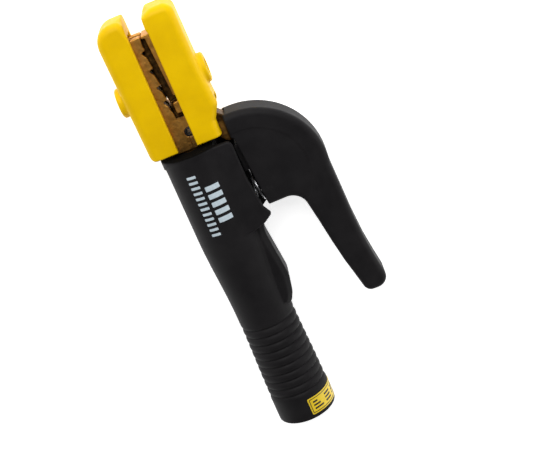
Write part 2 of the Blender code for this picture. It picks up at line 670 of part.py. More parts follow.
def make_spring(frame):
    """Return spring between the housing floor and the lever, and its steel seat."""
    seat_low = TROUGH_FLOOR_X + GAP
    seat = [(seat_low, 0), (seat_low, SPRING_SEAT_R), (seat_low + 0.8, SPRING_SEAT_R),
            (seat_low + 0.8, 5.6), (seat_low + 2.6, 5.2), (seat_low + 2.6, 0)]
    add_part("spring_seat", turned(seat, 24, "X", (SPRING_Y, 0)), "zinc_steel", frame,
             (seat_low, SPRING_Y, 0))
    start = seat_low + 0.8 + GAP + WIRE_R
    end = SPRING_POCKET_X - GAP - WIRE_R
    around = 16
    sides = 6
    total = int(SPRING_TURNS * around)
    bm = bmesh.new()
    rings = []
    for index in range(total + 1):
        share = index / total
        angle = 2 * math.pi * (SPRING_TURNS * share + SPRING_PHASE)
        outward = Vector((0, math.cos(angle), math.sin(angle)))
        centre = Vector((start + (end - start) * share, SPRING_Y, 0)) + outward * SPRING_R
        ring = []
        for side in range(sides):
            turn = 2 * math.pi * side / sides
            offset = outward * math.cos(turn) + Vector((1, 0, 0)) * math.sin(turn)
            ring.append(bm.verts.new(centre + offset * WIRE_R))
        rings.append(ring)
    for first, second in zip(rings, rings[1:]):
        for side in range(sides):
            after = (side + 1) % sides
            bm.faces.new((first[side], first[after], second[after], second[side]))
    bm.faces.new(rings[0])
    bm.faces.new(rings[-1])
    add_part("return_spring", bm, "spring_steel", frame, (start, SPRING_Y, 0))


def main():
    clear_scene()
    frame = empty("holder_frame", (-(X_LOW + X_HIGH) / 2, -TIP_Y / 2, Z_HALF))
    frame["design_place"] = (0.0, 0.0, 0.0)
    lever_axis = empty("lever_axis", (*PIVOT, 0), frame)
    lever_axis["design_place"] = (*PIVOT, 0.0)

    make_handle(frame)
    make_label(frame)
    make_fixed_jaw(frame)
    make_cable_clamp(frame)
    pan_head_screw("handle_screw", -HANDLE_R + 0.3, -2.4, "Z", (0, HANDLE_SCREW_Y), frame, frame,
                   (0, HANDLE_SCREW_Y, -HANDLE_R + 0.3))
    fixed_origin = (JAW_X - INS_INNER, INS_REAR_Y, 0)
    make_insulator("fixed_insulator", fixed_insulator_rings(), -1, FIXED_BOSS, frame, frame, fixed_origin)
    make_washer("fixed_insulator_washer", -1, FIXED_BOSS, frame)
    make_insulator_screw("fixed_insulator_screw", -1, FIXED_BOSS, frame, frame)

    make_moving_jaw(lever_axis, frame)
    shell = make_insulator("moving_insulator", moving_insulator_rings(), 1, MOVING_BOSS, lever_axis,
                           frame, (*PIVOT, 0))
    tail_room = TAIL_HALF_Z + GAP
    tail_way = block((8.0, 30.0), (INS_REAR_Y - 5, 202.6), (-tail_room, tail_room))
    cut(shell, helper("tail_way_cut", tail_way, frame))
    make_washer("moving_insulator_washer", 1, MOVING_BOSS, lever_axis)
    make_insulator_screw("moving_insulator_screw", 1, MOVING_BOSS, lever_axis, frame)
    make_lever(lever_axis, frame)
    pan_head_screw("lever_screw", -LEVER_HALF_Z + 0.4, 1.8, "Z", TAIL_SCREW, lever_axis, frame,
                   (*TAIL_SCREW, -LEVER_HALF_Z + 0.4))
    make_pivot(lever_axis, frame)
    make_spring(frame)


main()
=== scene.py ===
"""Looks of the tongs-type electrode holder: fine surfaces, materials, light and camera.

Shapes are worked out in design millimetres, the frame that the solids are drawn in:
y runs along the handle from the cable end, +x points to the lever, and z = 0 is the
plane that the lever swings in. Most pieces are fields: functions that give the
distance to the piece's surface, negative inside it. surface() meshes the place where
a field is zero.
"""
import math

import bpy
import numpy as np
from mathutils import Matrix, Vector

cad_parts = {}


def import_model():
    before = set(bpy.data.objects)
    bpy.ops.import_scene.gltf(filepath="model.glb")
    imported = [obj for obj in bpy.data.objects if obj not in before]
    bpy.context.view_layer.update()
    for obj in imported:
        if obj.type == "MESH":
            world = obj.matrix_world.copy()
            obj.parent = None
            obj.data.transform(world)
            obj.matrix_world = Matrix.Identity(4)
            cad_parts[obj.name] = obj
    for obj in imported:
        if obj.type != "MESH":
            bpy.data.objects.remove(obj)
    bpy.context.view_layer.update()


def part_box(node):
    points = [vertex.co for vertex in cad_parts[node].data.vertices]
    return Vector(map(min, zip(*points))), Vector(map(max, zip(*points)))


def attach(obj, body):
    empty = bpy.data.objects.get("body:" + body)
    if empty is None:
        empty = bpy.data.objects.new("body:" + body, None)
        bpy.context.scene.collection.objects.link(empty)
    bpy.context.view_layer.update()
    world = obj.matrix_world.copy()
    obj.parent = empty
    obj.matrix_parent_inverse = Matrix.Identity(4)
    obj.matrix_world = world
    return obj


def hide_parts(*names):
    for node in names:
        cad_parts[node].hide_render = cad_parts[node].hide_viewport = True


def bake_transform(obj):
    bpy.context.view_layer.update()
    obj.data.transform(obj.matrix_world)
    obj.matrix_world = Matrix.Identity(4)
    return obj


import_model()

MM = 0.001
COARSER = 1.0

# Whole holder
TIP_Y = 262.0
FRONT_Y = 179.4
PIVOT = (2.8, 190.0)
JAW_X = -1.4
GAP = 0.3

# Handle
BEAD_R = 19.6
BEAD_LENGTH = 6.5
HANDLE_R = 18.9
WAIST_R = 16.7
WAIST_Y = 72.0
COLLAR_R = 18.0
COLLAR_LENGTH = 16.0
RIB_COUNT = 10
RIB_PITCH = 5.16
RIB_FIRST_Y = 18.6
RIB_DEPTH = 1.1
BOX_HALF_Z = 16.3
REST_HALF_Z = 10.5
REST_CHAMFER = 3.0
TROUGH_FLOOR_X = 12.2
TROUGH_HALF_Z = 13.2
TROUGH_REAR_Y = 126.5
HANDLE_SCREW_Y = 168.0
CABLE_BORE_R = 12.5
CABLE_BORE_END = 97.0
SOCKET_BORE_R = 10.6
SOCKET_BORE_END = 159.0
STEM_BORE_R = 7.6

# Jaws and insulators
JAW_HALF_Z = 7.6
JAW_DEPTH = 12.6
JAW_TIP_Y = 249.4
POCKET_END_Y = 251.8
EAR_FRONT_Y = 199.8
EAR_REAR_Y = 180.0
EAR_X = 8.2
EAR_INNER_Z = 4.8
STEM_R = 7.2
STEM_END_Y = 141.0
LAND_X = JAW_X - 0.25
NOTCH_YS = (210.2, 219.2, 229.3, 240.1)
NOTCH_DEPTH = 2.1
BLADE_REAR_Y = 201.9
RIB_HALF_Z = 2.2
TONGUE_HALF_Z = 4.4
TAIL_HALF_Z = 5.8
TAIL_END_X = 42.0
TAIL_SCREW = (34.0, 181.8)
INS_HALF_Z = 12.5
INS_OUTER = 23.1
INS_INNER = 5.7
INS_REAR_Y = 182.0
FIXED_BOSS = (217.6, 3.0)     # place along the handle, height over INS_OUTER
MOVING_BOSS = (219.0, 4.1)
BOSS_R = 8.6
RECESS_R = 5.2
RECESS_DEPTH = 3.4

# Lever and spring
LEVER_HALF_Z = 11.0
ARCH_CENTRE = (27.3, 149.6)
ARCH_R = 42.0
LEVER_WEB = [(30.0, 156.0), (22.6, 156.0), (21.9, 171.2), (22.8, 172.2), (30.0, 172.2)]
LEVER_WEB_Z = (-9.7, 6.0)
LEVER_SKIRT = [(31.0, 138.5), (24.9, 137.2), (22.2, 171.2), (23.1, 172.0), (30.0, 172.0)]
LEVER_SKIRT_Z = (-10.3, -9.2)
SPRING_Y = 142.8
SPRING_R = 7.4
WIRE_R = 0.75
SPRING_TURNS = 5.0
SPRING_PHASE = 0.35
SPRING_POCKET_R = 9.0
SPRING_POCKET_X = 34.0
SPRING_SEAT_R = 8.6

# Small hardware
PIN_R = 2.75
BUSH_R = 4.0
SCREW_R = 2.0
HEAD_R = 3.9
HEAD_HEIGHT = 2.4
DOME_R = 6.2
CROSS_DEPTH = 1.6
GRUB_R = 3.0
GRUB_YS = (124.0, 110.0)
SOCKET_R = 10.2
SOCKET_INNER_R = 7.5
SOCKET_ENDS = (100.0, 158.0)

# Label on the collar: angles from the near line towards the lever
LABEL_ANGLES = (10.0, 112.0)
LABEL_YS = (3.0, 13.8)

# Camera: tilt, yaw and roll in degrees, lens in millimetres, point looked at and distance from it
CAMERA_ANGLES = (19.95, 4.46, 23.27)
CAMERA_LENS = 88.72
CAMERA_TARGET = (25.5, 117.3, 0.0)
CAMERA_DISTANCE = 783.0

sleeve_low, sleeve_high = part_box("handle_sleeve")
SHIFT = Vector((sleeve_low.x / MM + BEAD_R, sleeve_low.y / MM, (sleeve_low.z + sleeve_high.z) / 2 / MM))


# --- Field operators

def length(a, b):
    return np.sqrt(a * a + b * b)


def union(a, b, fillet=0.0):
    """Both shapes, with a round fillet where they meet."""
    if fillet <= 0:
        return np.minimum(a, b)
    return np.maximum(fillet, np.minimum(a, b)) - length(np.maximum(fillet - a, 0), np.maximum(fillet - b, 0))


def common(a, b, rounding=0.0):
    """What both shapes hold, with the edge between them rounded."""
    if np.isscalar(rounding) and rounding <= 0:
        return np.maximum(a, b)
    return np.minimum(-rounding, np.maximum(a, b)) + length(np.maximum(rounding + a, 0),
                                                            np.maximum(rounding + b, 0))


def less(a, b, rounding=0.0):
    """The first shape with the second cut away, and the cut's rim rounded."""
    return common(a, -b, rounding)


def band(value, low, high):
    """Distance to the slab between two limits."""
    return np.abs(value - (low + high) / 2) - (high - low) / 2


def smooth_step(value, low, high):
    share = np.clip((value - low) / (high - low), 0, 1)
    return share * share * (3 - 2 * share)


def polygon(u, v, outline):
    """Distance in a plane to a closed outline."""
    best = np.full(np.broadcast(u, v).shape, 1e9)
    inside = np.zeros(best.shape, bool)
    for (u0, v0), (u1, v1) in zip(outline, outline[1:] + outline[:1]):
        along_u, along_v = u1 - u0, v1 - v0
        if along_u == 0 and along_v == 0:
            continue
        share = ((u - u0) * along_u + (v - v0) * along_v) / (along_u ** 2 + along_v ** 2)
        share = np.clip(share, 0, 1)
        best = np.minimum(best, (u - u0 - along_u * share) ** 2 + (v - v0 - along_v * share) ** 2)
        if along_v:
            crosses = (v >= min(v0, v1)) & (v < max(v0, v1))
            inside ^= crosses & (u < u0 + (v - v0) * along_u / along_v)
    return np.where(inside, -1.0, 1.0) * np.sqrt(best)


def arc(centre, radius, start, end, steps):
    """Points on a circle from start to end, in degrees."""
    turns = np.radians(np.linspace(start, end, steps + 1))
    return [(centre[0] + radius * math.cos(t), centre[1] + radius * math.sin(t)) for t in turns]


def rounded(corners, steps=8):
    """Closed outline through (x, y, radius) corners, each radius drawn as an arc."""
    outline = []
    for index, (x, y, radius) in enumerate(corners):
        corner = Vector((x, y))
        if radius <= 0:
            outline.append((x, y))
            continue
        before = (Vector(corners[index - 1][:2]) - corner).normalized()
        after = (Vector(corners[(index + 1) % len(corners)][:2]) - corner).normalized()
        half = before.angle(after) / 2
        centre = corner + (before + after).normalized() * radius / math.sin(half)
        start = corner + before * radius / math.tan(half) - centre
        turn = start.angle_signed(corner + after * radius / math.tan(half) - centre)
        for step in range(steps + 1):
            point = centre + Matrix.Rotation(-turn * step / steps, 2) @ start
            outline.append((point.x, point.y))
    return outline


# --- Meshing

CORNERS = np.array([(1, 1, 1), (1, -1, -1), (-1, 1, -1), (-1, -1, 1)], float)


def knots(*stretches):
    """Grid lines along one axis from (start, end, step) stretches that follow each other."""
    lines = [np.array([stretches[0][0]], float)]
    for start, end, step in stretches:
        count = max(1, round((end - start) / (step * COARSER)))
        lines.append(np.linspace(start, end, count + 1)[1:])
    return np.concatenate(lines)


def slope(field, points, reach=0.02):
    """Field value and gradient from four samples round each point."""
    values = [field(*(points + corner * reach).T) for corner in CORNERS]
    gradient = sum(corner * value[:, None] for corner, value in zip(CORNERS, values)) / (4 * reach)
    return sum(values) / 4, gradient


def pull(field, points, reach):
    """Points moved onto the surface by steps up to reach, and the surface's normals there."""
    for _ in range(3):
        value, gradient = slope(field, points)
        step = gradient * (-value / np.maximum((gradient ** 2).sum(1), 0.05))[:, None]
        size = np.maximum(np.sqrt((step ** 2).sum(1)), 1e-9)
        points = points + step * np.minimum(1, reach / size)[:, None]
    normals = slope(field, points)[1]
    return points, normals / np.maximum(np.sqrt((normals ** 2).sum(1)), 1e-9)[:, None]


def surface(field, *axes):
    """Vertices, normals and quads of the surface inside a grid of x, y and z lines.

    Each crossed grid cell gets a vertex, which is then pulled onto the surface.
    """
    x, y, z = (np.asarray(axis, float) for axis in axes)
    value = np.broadcast_to(field(x[:, None, None], y[None, :, None], z[None, None, :]),
                            (len(x), len(y), len(z)))
    inside = value < 0
    cells_shape = np.array(value.shape) - 1
    around, places, outward = [], [], []
    for axis in range(3):
        first, second = (axis + 1) % 3, (axis + 2) % 3
        near, far = [slice(None)] * 3, [slice(None)] * 3
        near[axis], far[axis] = slice(None, -1), slice(1, None)
        index = np.argwhere(inside[tuple(near)] != inside[tuple(far)])
        beyond = index.copy()
        beyond[:, axis] += 1
        low, high = value[tuple(index.T)], value[tuple(beyond.T)]
        place = np.stack([grid[index[:, k]] for k, grid in enumerate((x, y, z))], 1)
        grid = (x, y, z)[axis]
        place[:, axis] += (grid[beyond[:, axis]] - grid[index[:, axis]]) * low / (low - high)
        ring = []
        for back_first, back_second in ((1, 1), (0, 1), (0, 0), (1, 0)):
            cell = index.copy()
            cell[:, first] -= back_first
            cell[:, second] -= back_second
            ring.append(np.ravel_multi_index(cell.T, cells_shape))
        around.append(np.stack(ring, 1))
        places.append(place)
        outward.append(low < 0)
    around, places, outward = map(np.concatenate, (around, places, outward))
    used, quads = np.unique(around, return_inverse=True)
    quads = quads.reshape(around.shape)
    count = np.bincount(quads.ravel(), minlength=len(used))
    points = np.stack([np.bincount(quads.ravel(), np.repeat(places[:, k], 4), len(used)) / count
                       for k in range(3)], 1)
    quads[~outward] = quads[~outward][:, ::-1]
    cell = np.array(np.unravel_index(used, cells_shape))
    reach = np.min([np.diff(grid)[cell[k]] for k, grid in enumerate((x, y, z))], 0) * 0.6
    return (*pull(field, points, reach), quads)


def world(points):
    """Design millimetres to metres in the frame."""
    return (np.asarray(points, float) + np.array(SHIFT)) * MM


def new_object(name, data):
    """Object in the scene."""
    made = bpy.data.objects.new(name, data)
    bpy.context.scene.collection.objects.link(made)
    return made


def new_piece(name, points, faces, finish, body=None, node=None, normals=None):
    """Mesh object in one of LOOKS that rides on a body, if one is given, and stands for a CAD node.
    """
    mesh = bpy.data.meshes.new(name)
    mesh.from_pydata(world(points).tolist(), [], [list(map(int, face)) for face in faces])
    mesh.shade_smooth()
    if normals is not None:
        mesh.normals_split_custom_set_from_vertices(normals.tolist())
    mesh.materials.append(LOOKS[finish])
    piece = new_object(name, mesh)
    if body:
        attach(piece, body)
    if node:
        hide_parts(node)
    return piece


def carve(name, field, axes, finish, body, node, depth=1.0, soot_and_shade=None):
    """Piece from a field, with its edges and crevices, depth deep, and its soot and painted shade stored for
    its look.
    """
    points, normals, quads = surface(field, *axes)
    piece = new_piece(name, points, quads, finish, body, node, normals)
    under = field(*(points - normals * depth).T) + depth
    over = depth - field(*(points + normals * depth).T)
    marks = {"edge": under / depth, "crevice": over / depth}
    # Soot with painted shade on the jaws, painted shade alone on the handle.
    if soot_and_shade:
        marks["soot_and_shade"] = soot_and_shade(*points.T)
    for label, amount in marks.items():
        layer = piece.data.attributes.new(label, "FLOAT", "POINT")
        layer.data.foreach_set("value", np.clip(amount, 0, 1).astype(np.float32))


# --- Materials

def begin_material(name, **settings):
    """New Principled material with constant settings: a maker of its nodes, and what finishes it."""
    made = bpy.data.materials.new(name + "_look")
    made.use_nodes = True
    tree = made.node_tree
    shader = tree.nodes["Principled BSDF"]
    for socket, value in settings.items():
        shader.inputs[socket.replace("_", " ")].default_value = value

    def add(kind, inputs=(), **properties):
        node = tree.nodes.new("ShaderNode" + kind)
        for key, value in properties.items():
            setattr(node, key, value)
        for socket, value in dict(inputs).items():
            if isinstance(value, bpy.types.NodeSocket):
                tree.links.new(value, node.inputs[socket])
            else:
                node.inputs[socket].default_value = value
        return node

    def finish(colour, roughness=None, normal=None):
        for socket, value in (("Base Color", colour), ("Roughness", roughness), ("Normal", normal)):
            if value is not None:
                tree.links.new(value, shader.inputs[socket])
        return made

    return add, finish


def millimetres(add, stretch=(1, 1, 1)):
    """Object coordinates in millimetres, stretched along the axes."""
    place = add("TexCoord").outputs["Object"]
    scale = tuple(1000 * factor for factor in stretch)
    return add("Mapping", {"Vector": place, "Scale": scale}).outputs["Vector"]


def stretch(add, value, low, high):
    """Value between low and high turned into a share from 0 to 1."""
    return add("MapRange", {"Value": value, "From Min": low, "From Max": high}).outputs["Result"]


def spread(add, share, low, high):
    """Share from 0 to 1 turned into a value from low to high."""
    return add("MapRange", {"Value": share, "To Min": low, "To Max": high}).outputs["Result"]


def noise(add, place, size, detail=3.0, roughness=0.5, low=0.3, high=0.7):
    """Noise whose features are size millimetres across, stretched from 0 to 1."""
    grain = add("TexNoise", {"Vector": place, "Scale": 1 / size, "Detail": detail, "Roughness": roughness})
    return stretch(add, grain.outputs["Fac"], low, high)


def maths(add, operation, first, second, third=0.5):
    return add("Math", {0: first, 1: second, 2: third}, operation=operation).outputs["Value"]


def times(add, first, second):
    return maths(add, "MULTIPLY", first, second)


def blend_colour(add, share, first, second):
    """Colour between two, each a socket or (r, g, b)."""
    ends = [colour if isinstance(colour, bpy.types.NodeSocket) else (*colour, 1)
            for colour in (first, second)]
    return add("Mix", {"Factor": share, 6: ends[0], 7: ends[1]}, data_type="RGBA").outputs[2]


def stored(add, label, low=0.0, high=1.0):
    """Edge, crevice or soot amount that carve() stored on the mesh."""
    return stretch(add, add("Attribute", attribute_name=label).outputs["Fac"], low, high)


def bump(add, layers):
    """Normal from (height, millimetres) layers."""
    normal = None
    for height, depth in layers:
        inputs = {"Height": height, "Distance": depth * MM, "Strength": 1.0}
        if normal is not None:
            inputs["Normal"] = normal
        normal = add("Bump", inputs).outputs["Normal"]
    return normal


def black_nylon():
    """Glass-filled black nylon: fine moulded grain, faint flow mottling, paler scuffed edges, and near-black
    painted shade where the stored soot-and-shade mark is set.
    """
    add, finish = begin_material("black_nylon", IOR=1.5, Specular_IOR_Level=0.08)
    place = millimetres(add)
    mottle = noise(add, place, 14.0, 4.0, 0.6)
    speck = noise(add, place, 0.55, 2.0, 0.6)
    colour = blend_colour(add, mottle, (0.0104, 0.0097, 0.0106), (0.0165, 0.0154, 0.0164))
    colour = blend_colour(add, times(add, speck, 0.35), colour, (0.0150, 0.0142, 0.0145))
    scuff = noise(add, place, 2.6, 5.0, 0.7, 0.45, 0.72)
    worn = times(add, stored(add, "edge", 0.10, 0.55), scuff)
    colour = blend_colour(add, times(add, worn, 0.5), colour, (0.050, 0.048, 0.049))
    dust = times(add, stored(add, "crevice", 0.15, 0.8), noise(add, place, 5.0, 4.0, 0.6))
    colour = blend_colour(add, times(add, dust, 0.15), colour, (0.022, 0.020, 0.019))
    # Painted shade: near black and rougher where the stored mark is set, on the handle its shaded front face.
    soot_and_shade = stored(add, "soot_and_shade")
    colour = blend_colour(add, soot_and_shade, colour, (0.0015, 0.0014, 0.0013))
    fine = noise(add, place, 0.38, 2.0, 0.6)
    rubbed = noise(add, millimetres(add, (1, 0.12, 1)), 1.4, 4.0, 0.6, 0.5, 0.8)
    roughness = spread(add, maths(add, "MULTIPLY_ADD", mottle, 0.6, 0.5), 0.44, 0.56)
    roughness = maths(add, "SUBTRACT", roughness, times(add, rubbed, 0.08))
    roughness = maths(add, "ADD", roughness, times(add, soot_and_shade, 0.4))
    normal = bump(add, [(noise(add, place, 9.0, 2.0), 0.030), (fine, 0.012)])
    return finish(colour, roughness, normal)


def yellow_nylon():
    """Yellow moulded nylon: slight cloudiness, soot with painted shade darkening the crevices to brown, pale
    rubbed edges.
    """
    add, finish = begin_material("yellow_nylon", IOR=1.5, Specular_IOR_Level=0.12)
    place = millimetres(add)
    cloud = noise(add, place, 18.0, 3.0, 0.55)
    colour = blend_colour(add, cloud, (0.83, 0.505, 0.0), (0.93, 0.590, 0.0))
    fleck = noise(add, place, 0.8, 3.0, 0.6, 0.55, 0.8)
    colour = blend_colour(add, times(add, fleck, 0.18), colour, (0.58, 0.37, 0.006))
    # Soot and painted shade: the crevices darkened towards shaded-yellow brown.
    soot_and_shade = times(add, stored(add, "crevice", 0.2, 0.9), noise(add, place, 3.0, 4.0, 0.6))
    colour = blend_colour(add, times(add, soot_and_shade, 0.45), colour, (0.22, 0.12, 0.01))
    worn = times(add, stored(add, "edge", 0.15, 0.6), noise(add, place, 2.0, 4.0, 0.7, 0.4, 0.7))
    colour = blend_colour(add, times(add, worn, 0.35), colour, (0.90, 0.68, 0.04))
    roughness = spread(add, noise(add, place, 3.5, 4.0, 0.6), 0.36, 0.50)
    normal = bump(add, [(noise(add, place, 7.0, 2.0), 0.035), (noise(add, place, 0.6, 2.0), 0.010)])
    return finish(colour, roughness, normal)


def cast_brass():
    """Cast brass: sandy skin, brown tarnish near the handle and in crevices, soot with painted shade from the
    stored mark, bright edges.
    """
    add, finish = begin_material("cast_brass", Metallic=1.0)
    place = millimetres(add)
    patch = noise(add, place, 5.0, 5.0, 0.65)
    colour = blend_colour(add, patch, (0.47, 0.222, 0.040), (0.69, 0.365, 0.085))
    height = add("SeparateXYZ", {"Vector": place}).outputs["Y"]
    rear = stretch(add, height, 64.0, 49.0)
    tarnish = maths(add, "MAXIMUM", rear, stored(add, "crevice", 0.1, 0.7))
    tarnish = times(add, tarnish, spread(add, noise(add, place, 2.2, 5.0, 0.7), 0.45, 0.85))
    colour = blend_colour(add, tarnish, colour, (0.045, 0.024, 0.012))
    uneven = spread(add, noise(add, place, 3.0, 4.0, 0.6), 0.72, 1.0)
    # Soot and painted shade: dark brown in the jaw channel, painted shadow on the tail beside the lever and
    # in the slit behind the blade.
    colour = blend_colour(add, times(add, stored(add, "soot_and_shade"), uneven), colour, (0.022, 0.012, 0.008))
    rubbed = noise(add, place, 1.2, 4.0, 0.7, 0.35, 0.65)
    bright = times(add, stored(add, "edge", 0.15, 0.6), rubbed)
    colour = blend_colour(add, times(add, bright, 0.8), colour, (0.72, 0.44, 0.27))
    roughness = spread(add, noise(add, place, 1.6, 4.0, 0.6), 0.36, 0.58)
    normal = bump(add, [(noise(add, place, 2.4, 3.0), 0.09), (noise(add, place, 0.35, 3.0, 0.6), 0.03)])
    return finish(colour, roughness, normal)


def plain_metal(name, dark, light, rough_low, rough_high, grain=(1, 1, 1), size=1.0, depth=0.01):
    """Steel or copper with patchy colour and roughness and a fine directional grain."""
    add, finish = begin_material(name, Metallic=1.0)
    place = millimetres(add)
    lines = noise(add, millimetres(add, grain), size * 0.3, 3.0, 0.6)
    colour = blend_colour(add, noise(add, place, size * 3, 4.0, 0.6), dark, light)
    stain = times(add, stored(add, "crevice", 0.1, 0.8), noise(add, place, size * 2, 4.0))
    colour = blend_colour(add, times(add, stain, 0.6), colour, tuple(c * 0.35 for c in dark))
    roughness = spread(add, lines, rough_low, rough_high)
    return finish(colour, roughness, bump(add, [(lines, depth)]))


def printed_film(name, first, second, rough_low, rough_high, depth):
    """Printed ink or label film: slightly uneven colour and gloss."""
    add, finish = begin_material(name, IOR=1.48, Specular_IOR_Level=0.4)
    place = millimetres(add)
    colour = blend_colour(add, noise(add, place, 1.6, 4.0, 0.65), first, second)
    roughness = spread(add, noise(add, place, 2.5, 3.0), rough_low, rough_high)
    return finish(colour, roughness, bump(add, [(noise(add, place, 0.5, 2.0), depth)]))


METALS = {
    "dark_steel": ((0.035, 0.034, 0.036), (0.075, 0.072, 0.075), 0.38, 0.55),
    "spring_steel": ((0.42, 0.42, 0.44), (0.62, 0.62, 0.64), 0.18, 0.32, (1, 6, 6), 0.8, 0.004),
    "zinc_steel": ((0.45, 0.46, 0.47), (0.62, 0.63, 0.64), 0.28, 0.45),
    "copper_strip": ((0.48, 0.20, 0.11), (0.72, 0.36, 0.22), 0.25, 0.45, (1, 0.15, 1), 1.5, 0.008),
}
FILMS = {
    "label_film": ((0.84, 0.58, 0.02), (0.90, 0.66, 0.035), 0.28, 0.42, 0.004),
    "black_ink": ((0.012, 0.011, 0.010), (0.03, 0.027, 0.022), 0.35, 0.5, 0.003),
    "pale_ink": ((0.50, 0.60, 0.66), (0.63, 0.72, 0.77), 0.45, 0.6, 0.006),
}
LOOKS = {"black_nylon": black_nylon(), "yellow_nylon": yellow_nylon(), "cast_brass": cast_brass()}
LOOKS.update((name, plain_metal(name, *values)) for name, values in METALS.items())
LOOKS.update((name, printed_film(name, *values)) for name, values in FILMS.items())


# --- The handle

def grip_radius(y):
    """Outer radius of the grip without its ribs."""
    rear = np.clip((y - COLLAR_LENGTH) / (WAIST_Y - COLLAR_LENGTH), 0, 1)
    front = np.clip((y - WAIST_Y) / 56.0, 0, 1)
    start = COLLAR_R - 0.2
    behind = start + (WAIST_R - start) * (1 - np.cos(np.pi * rear)) / 2
    ahead = WAIST_R + (HANDLE_R - WAIST_R) * (1 - np.cos(np.pi * front)) / 2
    return np.where(y < COLLAR_LENGTH, COLLAR_R, np.where(y < WAIST_Y, behind, ahead))


def rib_depth(y):
    """How far the surface lies below the plain grip: crowned ribs between narrow grooves."""
    turn = (y - RIB_FIRST_Y) / RIB_PITCH
    from_groove = length(turn - np.round(turn), 0.03) * 2
    below = 1 - np.sqrt(np.clip(1 - (1 - np.minimum(from_groove, 1)) ** 2, 0, 1))
    ribbed = (turn > -0.5) & (turn < RIB_COUNT - 0.5)
    return np.where(ribbed, 1.45 * RIB_DEPTH * below, 0.0)


def screw_hole(from_screw, z, radius, half, sunk):
    """Hole for a screw's shank and its sunk head, from the far side at -half."""
    return union(common(from_screw - 5.0, z + half - sunk, 0.3), common(from_screw - radius, z))


def handle_field(x, y, z):
    """Moulded sleeve: ribbed grip, thumb rest, and the open spring housing."""
    radius = length(x, z)
    body = radius - (grip_radius(y) - rib_depth(y))
    body = common(body, -y, 1.6)
    body = common(body, y - FRONT_Y, 0.6)
    bead_start = FRONT_Y - BEAD_LENGTH - 0.3
    bead_rise = 0.5 + 6.0 * smooth_step(z, 2.0, 15.0)
    under_skin = HANDLE_R - 1.0
    bead_r = under_skin + (BEAD_R - under_skin) * smooth_step(y, bead_start, bead_start + bead_rise)
    body = union(body, common(radius - bead_r, band(y, bead_start, FRONT_Y), 1.0), 0.3)
    rest_outline = rounded([(2, 127.5, 0), (21.0, 127.5, 0), (19.4, 117.0, 12), (22.3, 89.0, 14),
                            (20.4, 78.0, 8), (17.6, 71.8, 4), (2, 69.5, 0)])
    across = polygon(x, y, rest_outline)
    side = np.abs(z) - REST_HALF_Z
    rest = common(across, side, 0.4)
    rest = common(rest, (across + side + REST_CHAMFER) * math.sqrt(0.5), 0.45)
    body = union(body, rest, 0.5)
    box_outline = rounded([(2, 178.9, 0), (22.5, 178.9, 3.5), (22.6, 155.0, 30), (24.9, 135.5, 2),
                           (27.9, 130.4, 1.5), (22.5, 126.6, 2), (14.0, 123.8, 0), (2, 123.8, 0)])
    box = common(polygon(x, y, box_outline), np.abs(z) - BOX_HALF_Z, 1.1)
    body = union(body, box, 1.4)
    bore = polygon(radius, y, [(-30, -20), (CABLE_BORE_R, -20), (CABLE_BORE_R, CABLE_BORE_END),
                               (SOCKET_BORE_R, CABLE_BORE_END), (SOCKET_BORE_R, SOCKET_BORE_END),
                               (STEM_BORE_R, SOCKET_BORE_END), (STEM_BORE_R, 220), (-30, 220)])
    body = less(body, bore, 0.9)
    trough = common(TROUGH_FLOOR_X - x, np.abs(z) - TROUGH_HALF_Z, 1.2)
    trough = common(trough, TROUGH_REAR_Y - y, 1.2)
    body = less(body, trough, 0.5)
    return less(body, screw_hole(length(x, y - HANDLE_SCREW_Y), z, 2.3, HANDLE_R, 3.0), 0.4)


def handle_front_shade(x, y, z):
    """Painted shade on the handle's front face, between the handle and the insulators."""
    return smooth_step(y, FRONT_Y - 0.9, FRONT_Y - 0.2)


def make_handle():
    ribs_start = RIB_FIRST_Y - RIB_PITCH / 2
    ribs_end = RIB_FIRST_Y + (RIB_COUNT - 0.5) * RIB_PITCH
    across = knots((-19.8, 29.0, 0.74))
    along = knots((-0.8, 2.6, 0.4), (2.6, 15.2, 1.2), (15.2, ribs_start, 0.4),
                  (ribs_start, ribs_end, RIB_PITCH / 12), (ribs_end, 121, 1.3), (121, 134, 0.6),
                  (134, 174, 1.6), (174, 180.4, 0.35))
    deep = knots((-19.9, 19.9, 0.74))
    # The handle's front face gets painted shade through the stored mark.
    carve("handle_shell", handle_field, (across, along, deep), "black_nylon", "handle_side",
          "handle_sleeve", soot_and_shade=handle_front_shade)


# --- Fixed jaw and cable clamp

def from_pivot(x, y):
    """Distance from the pivot's axis."""
    return length(x - PIVOT[0], y - PIVOT[1])


def jaw_soot_and_shade(x, y, z):
    """Soot and painted shade on a jaw: soot with painted shade in the channel, a painted shadow on the tail
    beside the lever, and painted shade between ears and blade.
    """
    # Channel: soot with painted shade.
    inside = smooth_step(JAW_HALF_Z - np.abs(z), 0.9, 2.2) * smooth_step(8.0 - np.abs(x - JAW_X), 0.0, 3.0)
    front = smooth_step(y, EAR_FRONT_Y, EAR_FRONT_Y + 3) * smooth_step(JAW_TIP_Y - 1.0 - y, 0.0, 1.2)
    # Tail beside the lever: painted shadow.
    beside_lever = np.maximum(smooth_step(y, 187.0, 189.5), smooth_step(x, 21.4, 22.7))
    tail = smooth_step(x, 15.0, 18.0) * beside_lever
    # Slit between the ears and the blade: painted shade.
    slit = smooth_step(y, EAR_FRONT_Y - 0.8, EAR_FRONT_Y - 0.4) * smooth_step(x, LAND_X, LAND_X + 1.0)
    slit = slit * smooth_step(BLADE_REAR_Y + 0.5 - y, 0.0, 0.4)
    return np.maximum(np.maximum(inside * front, tail), slit)


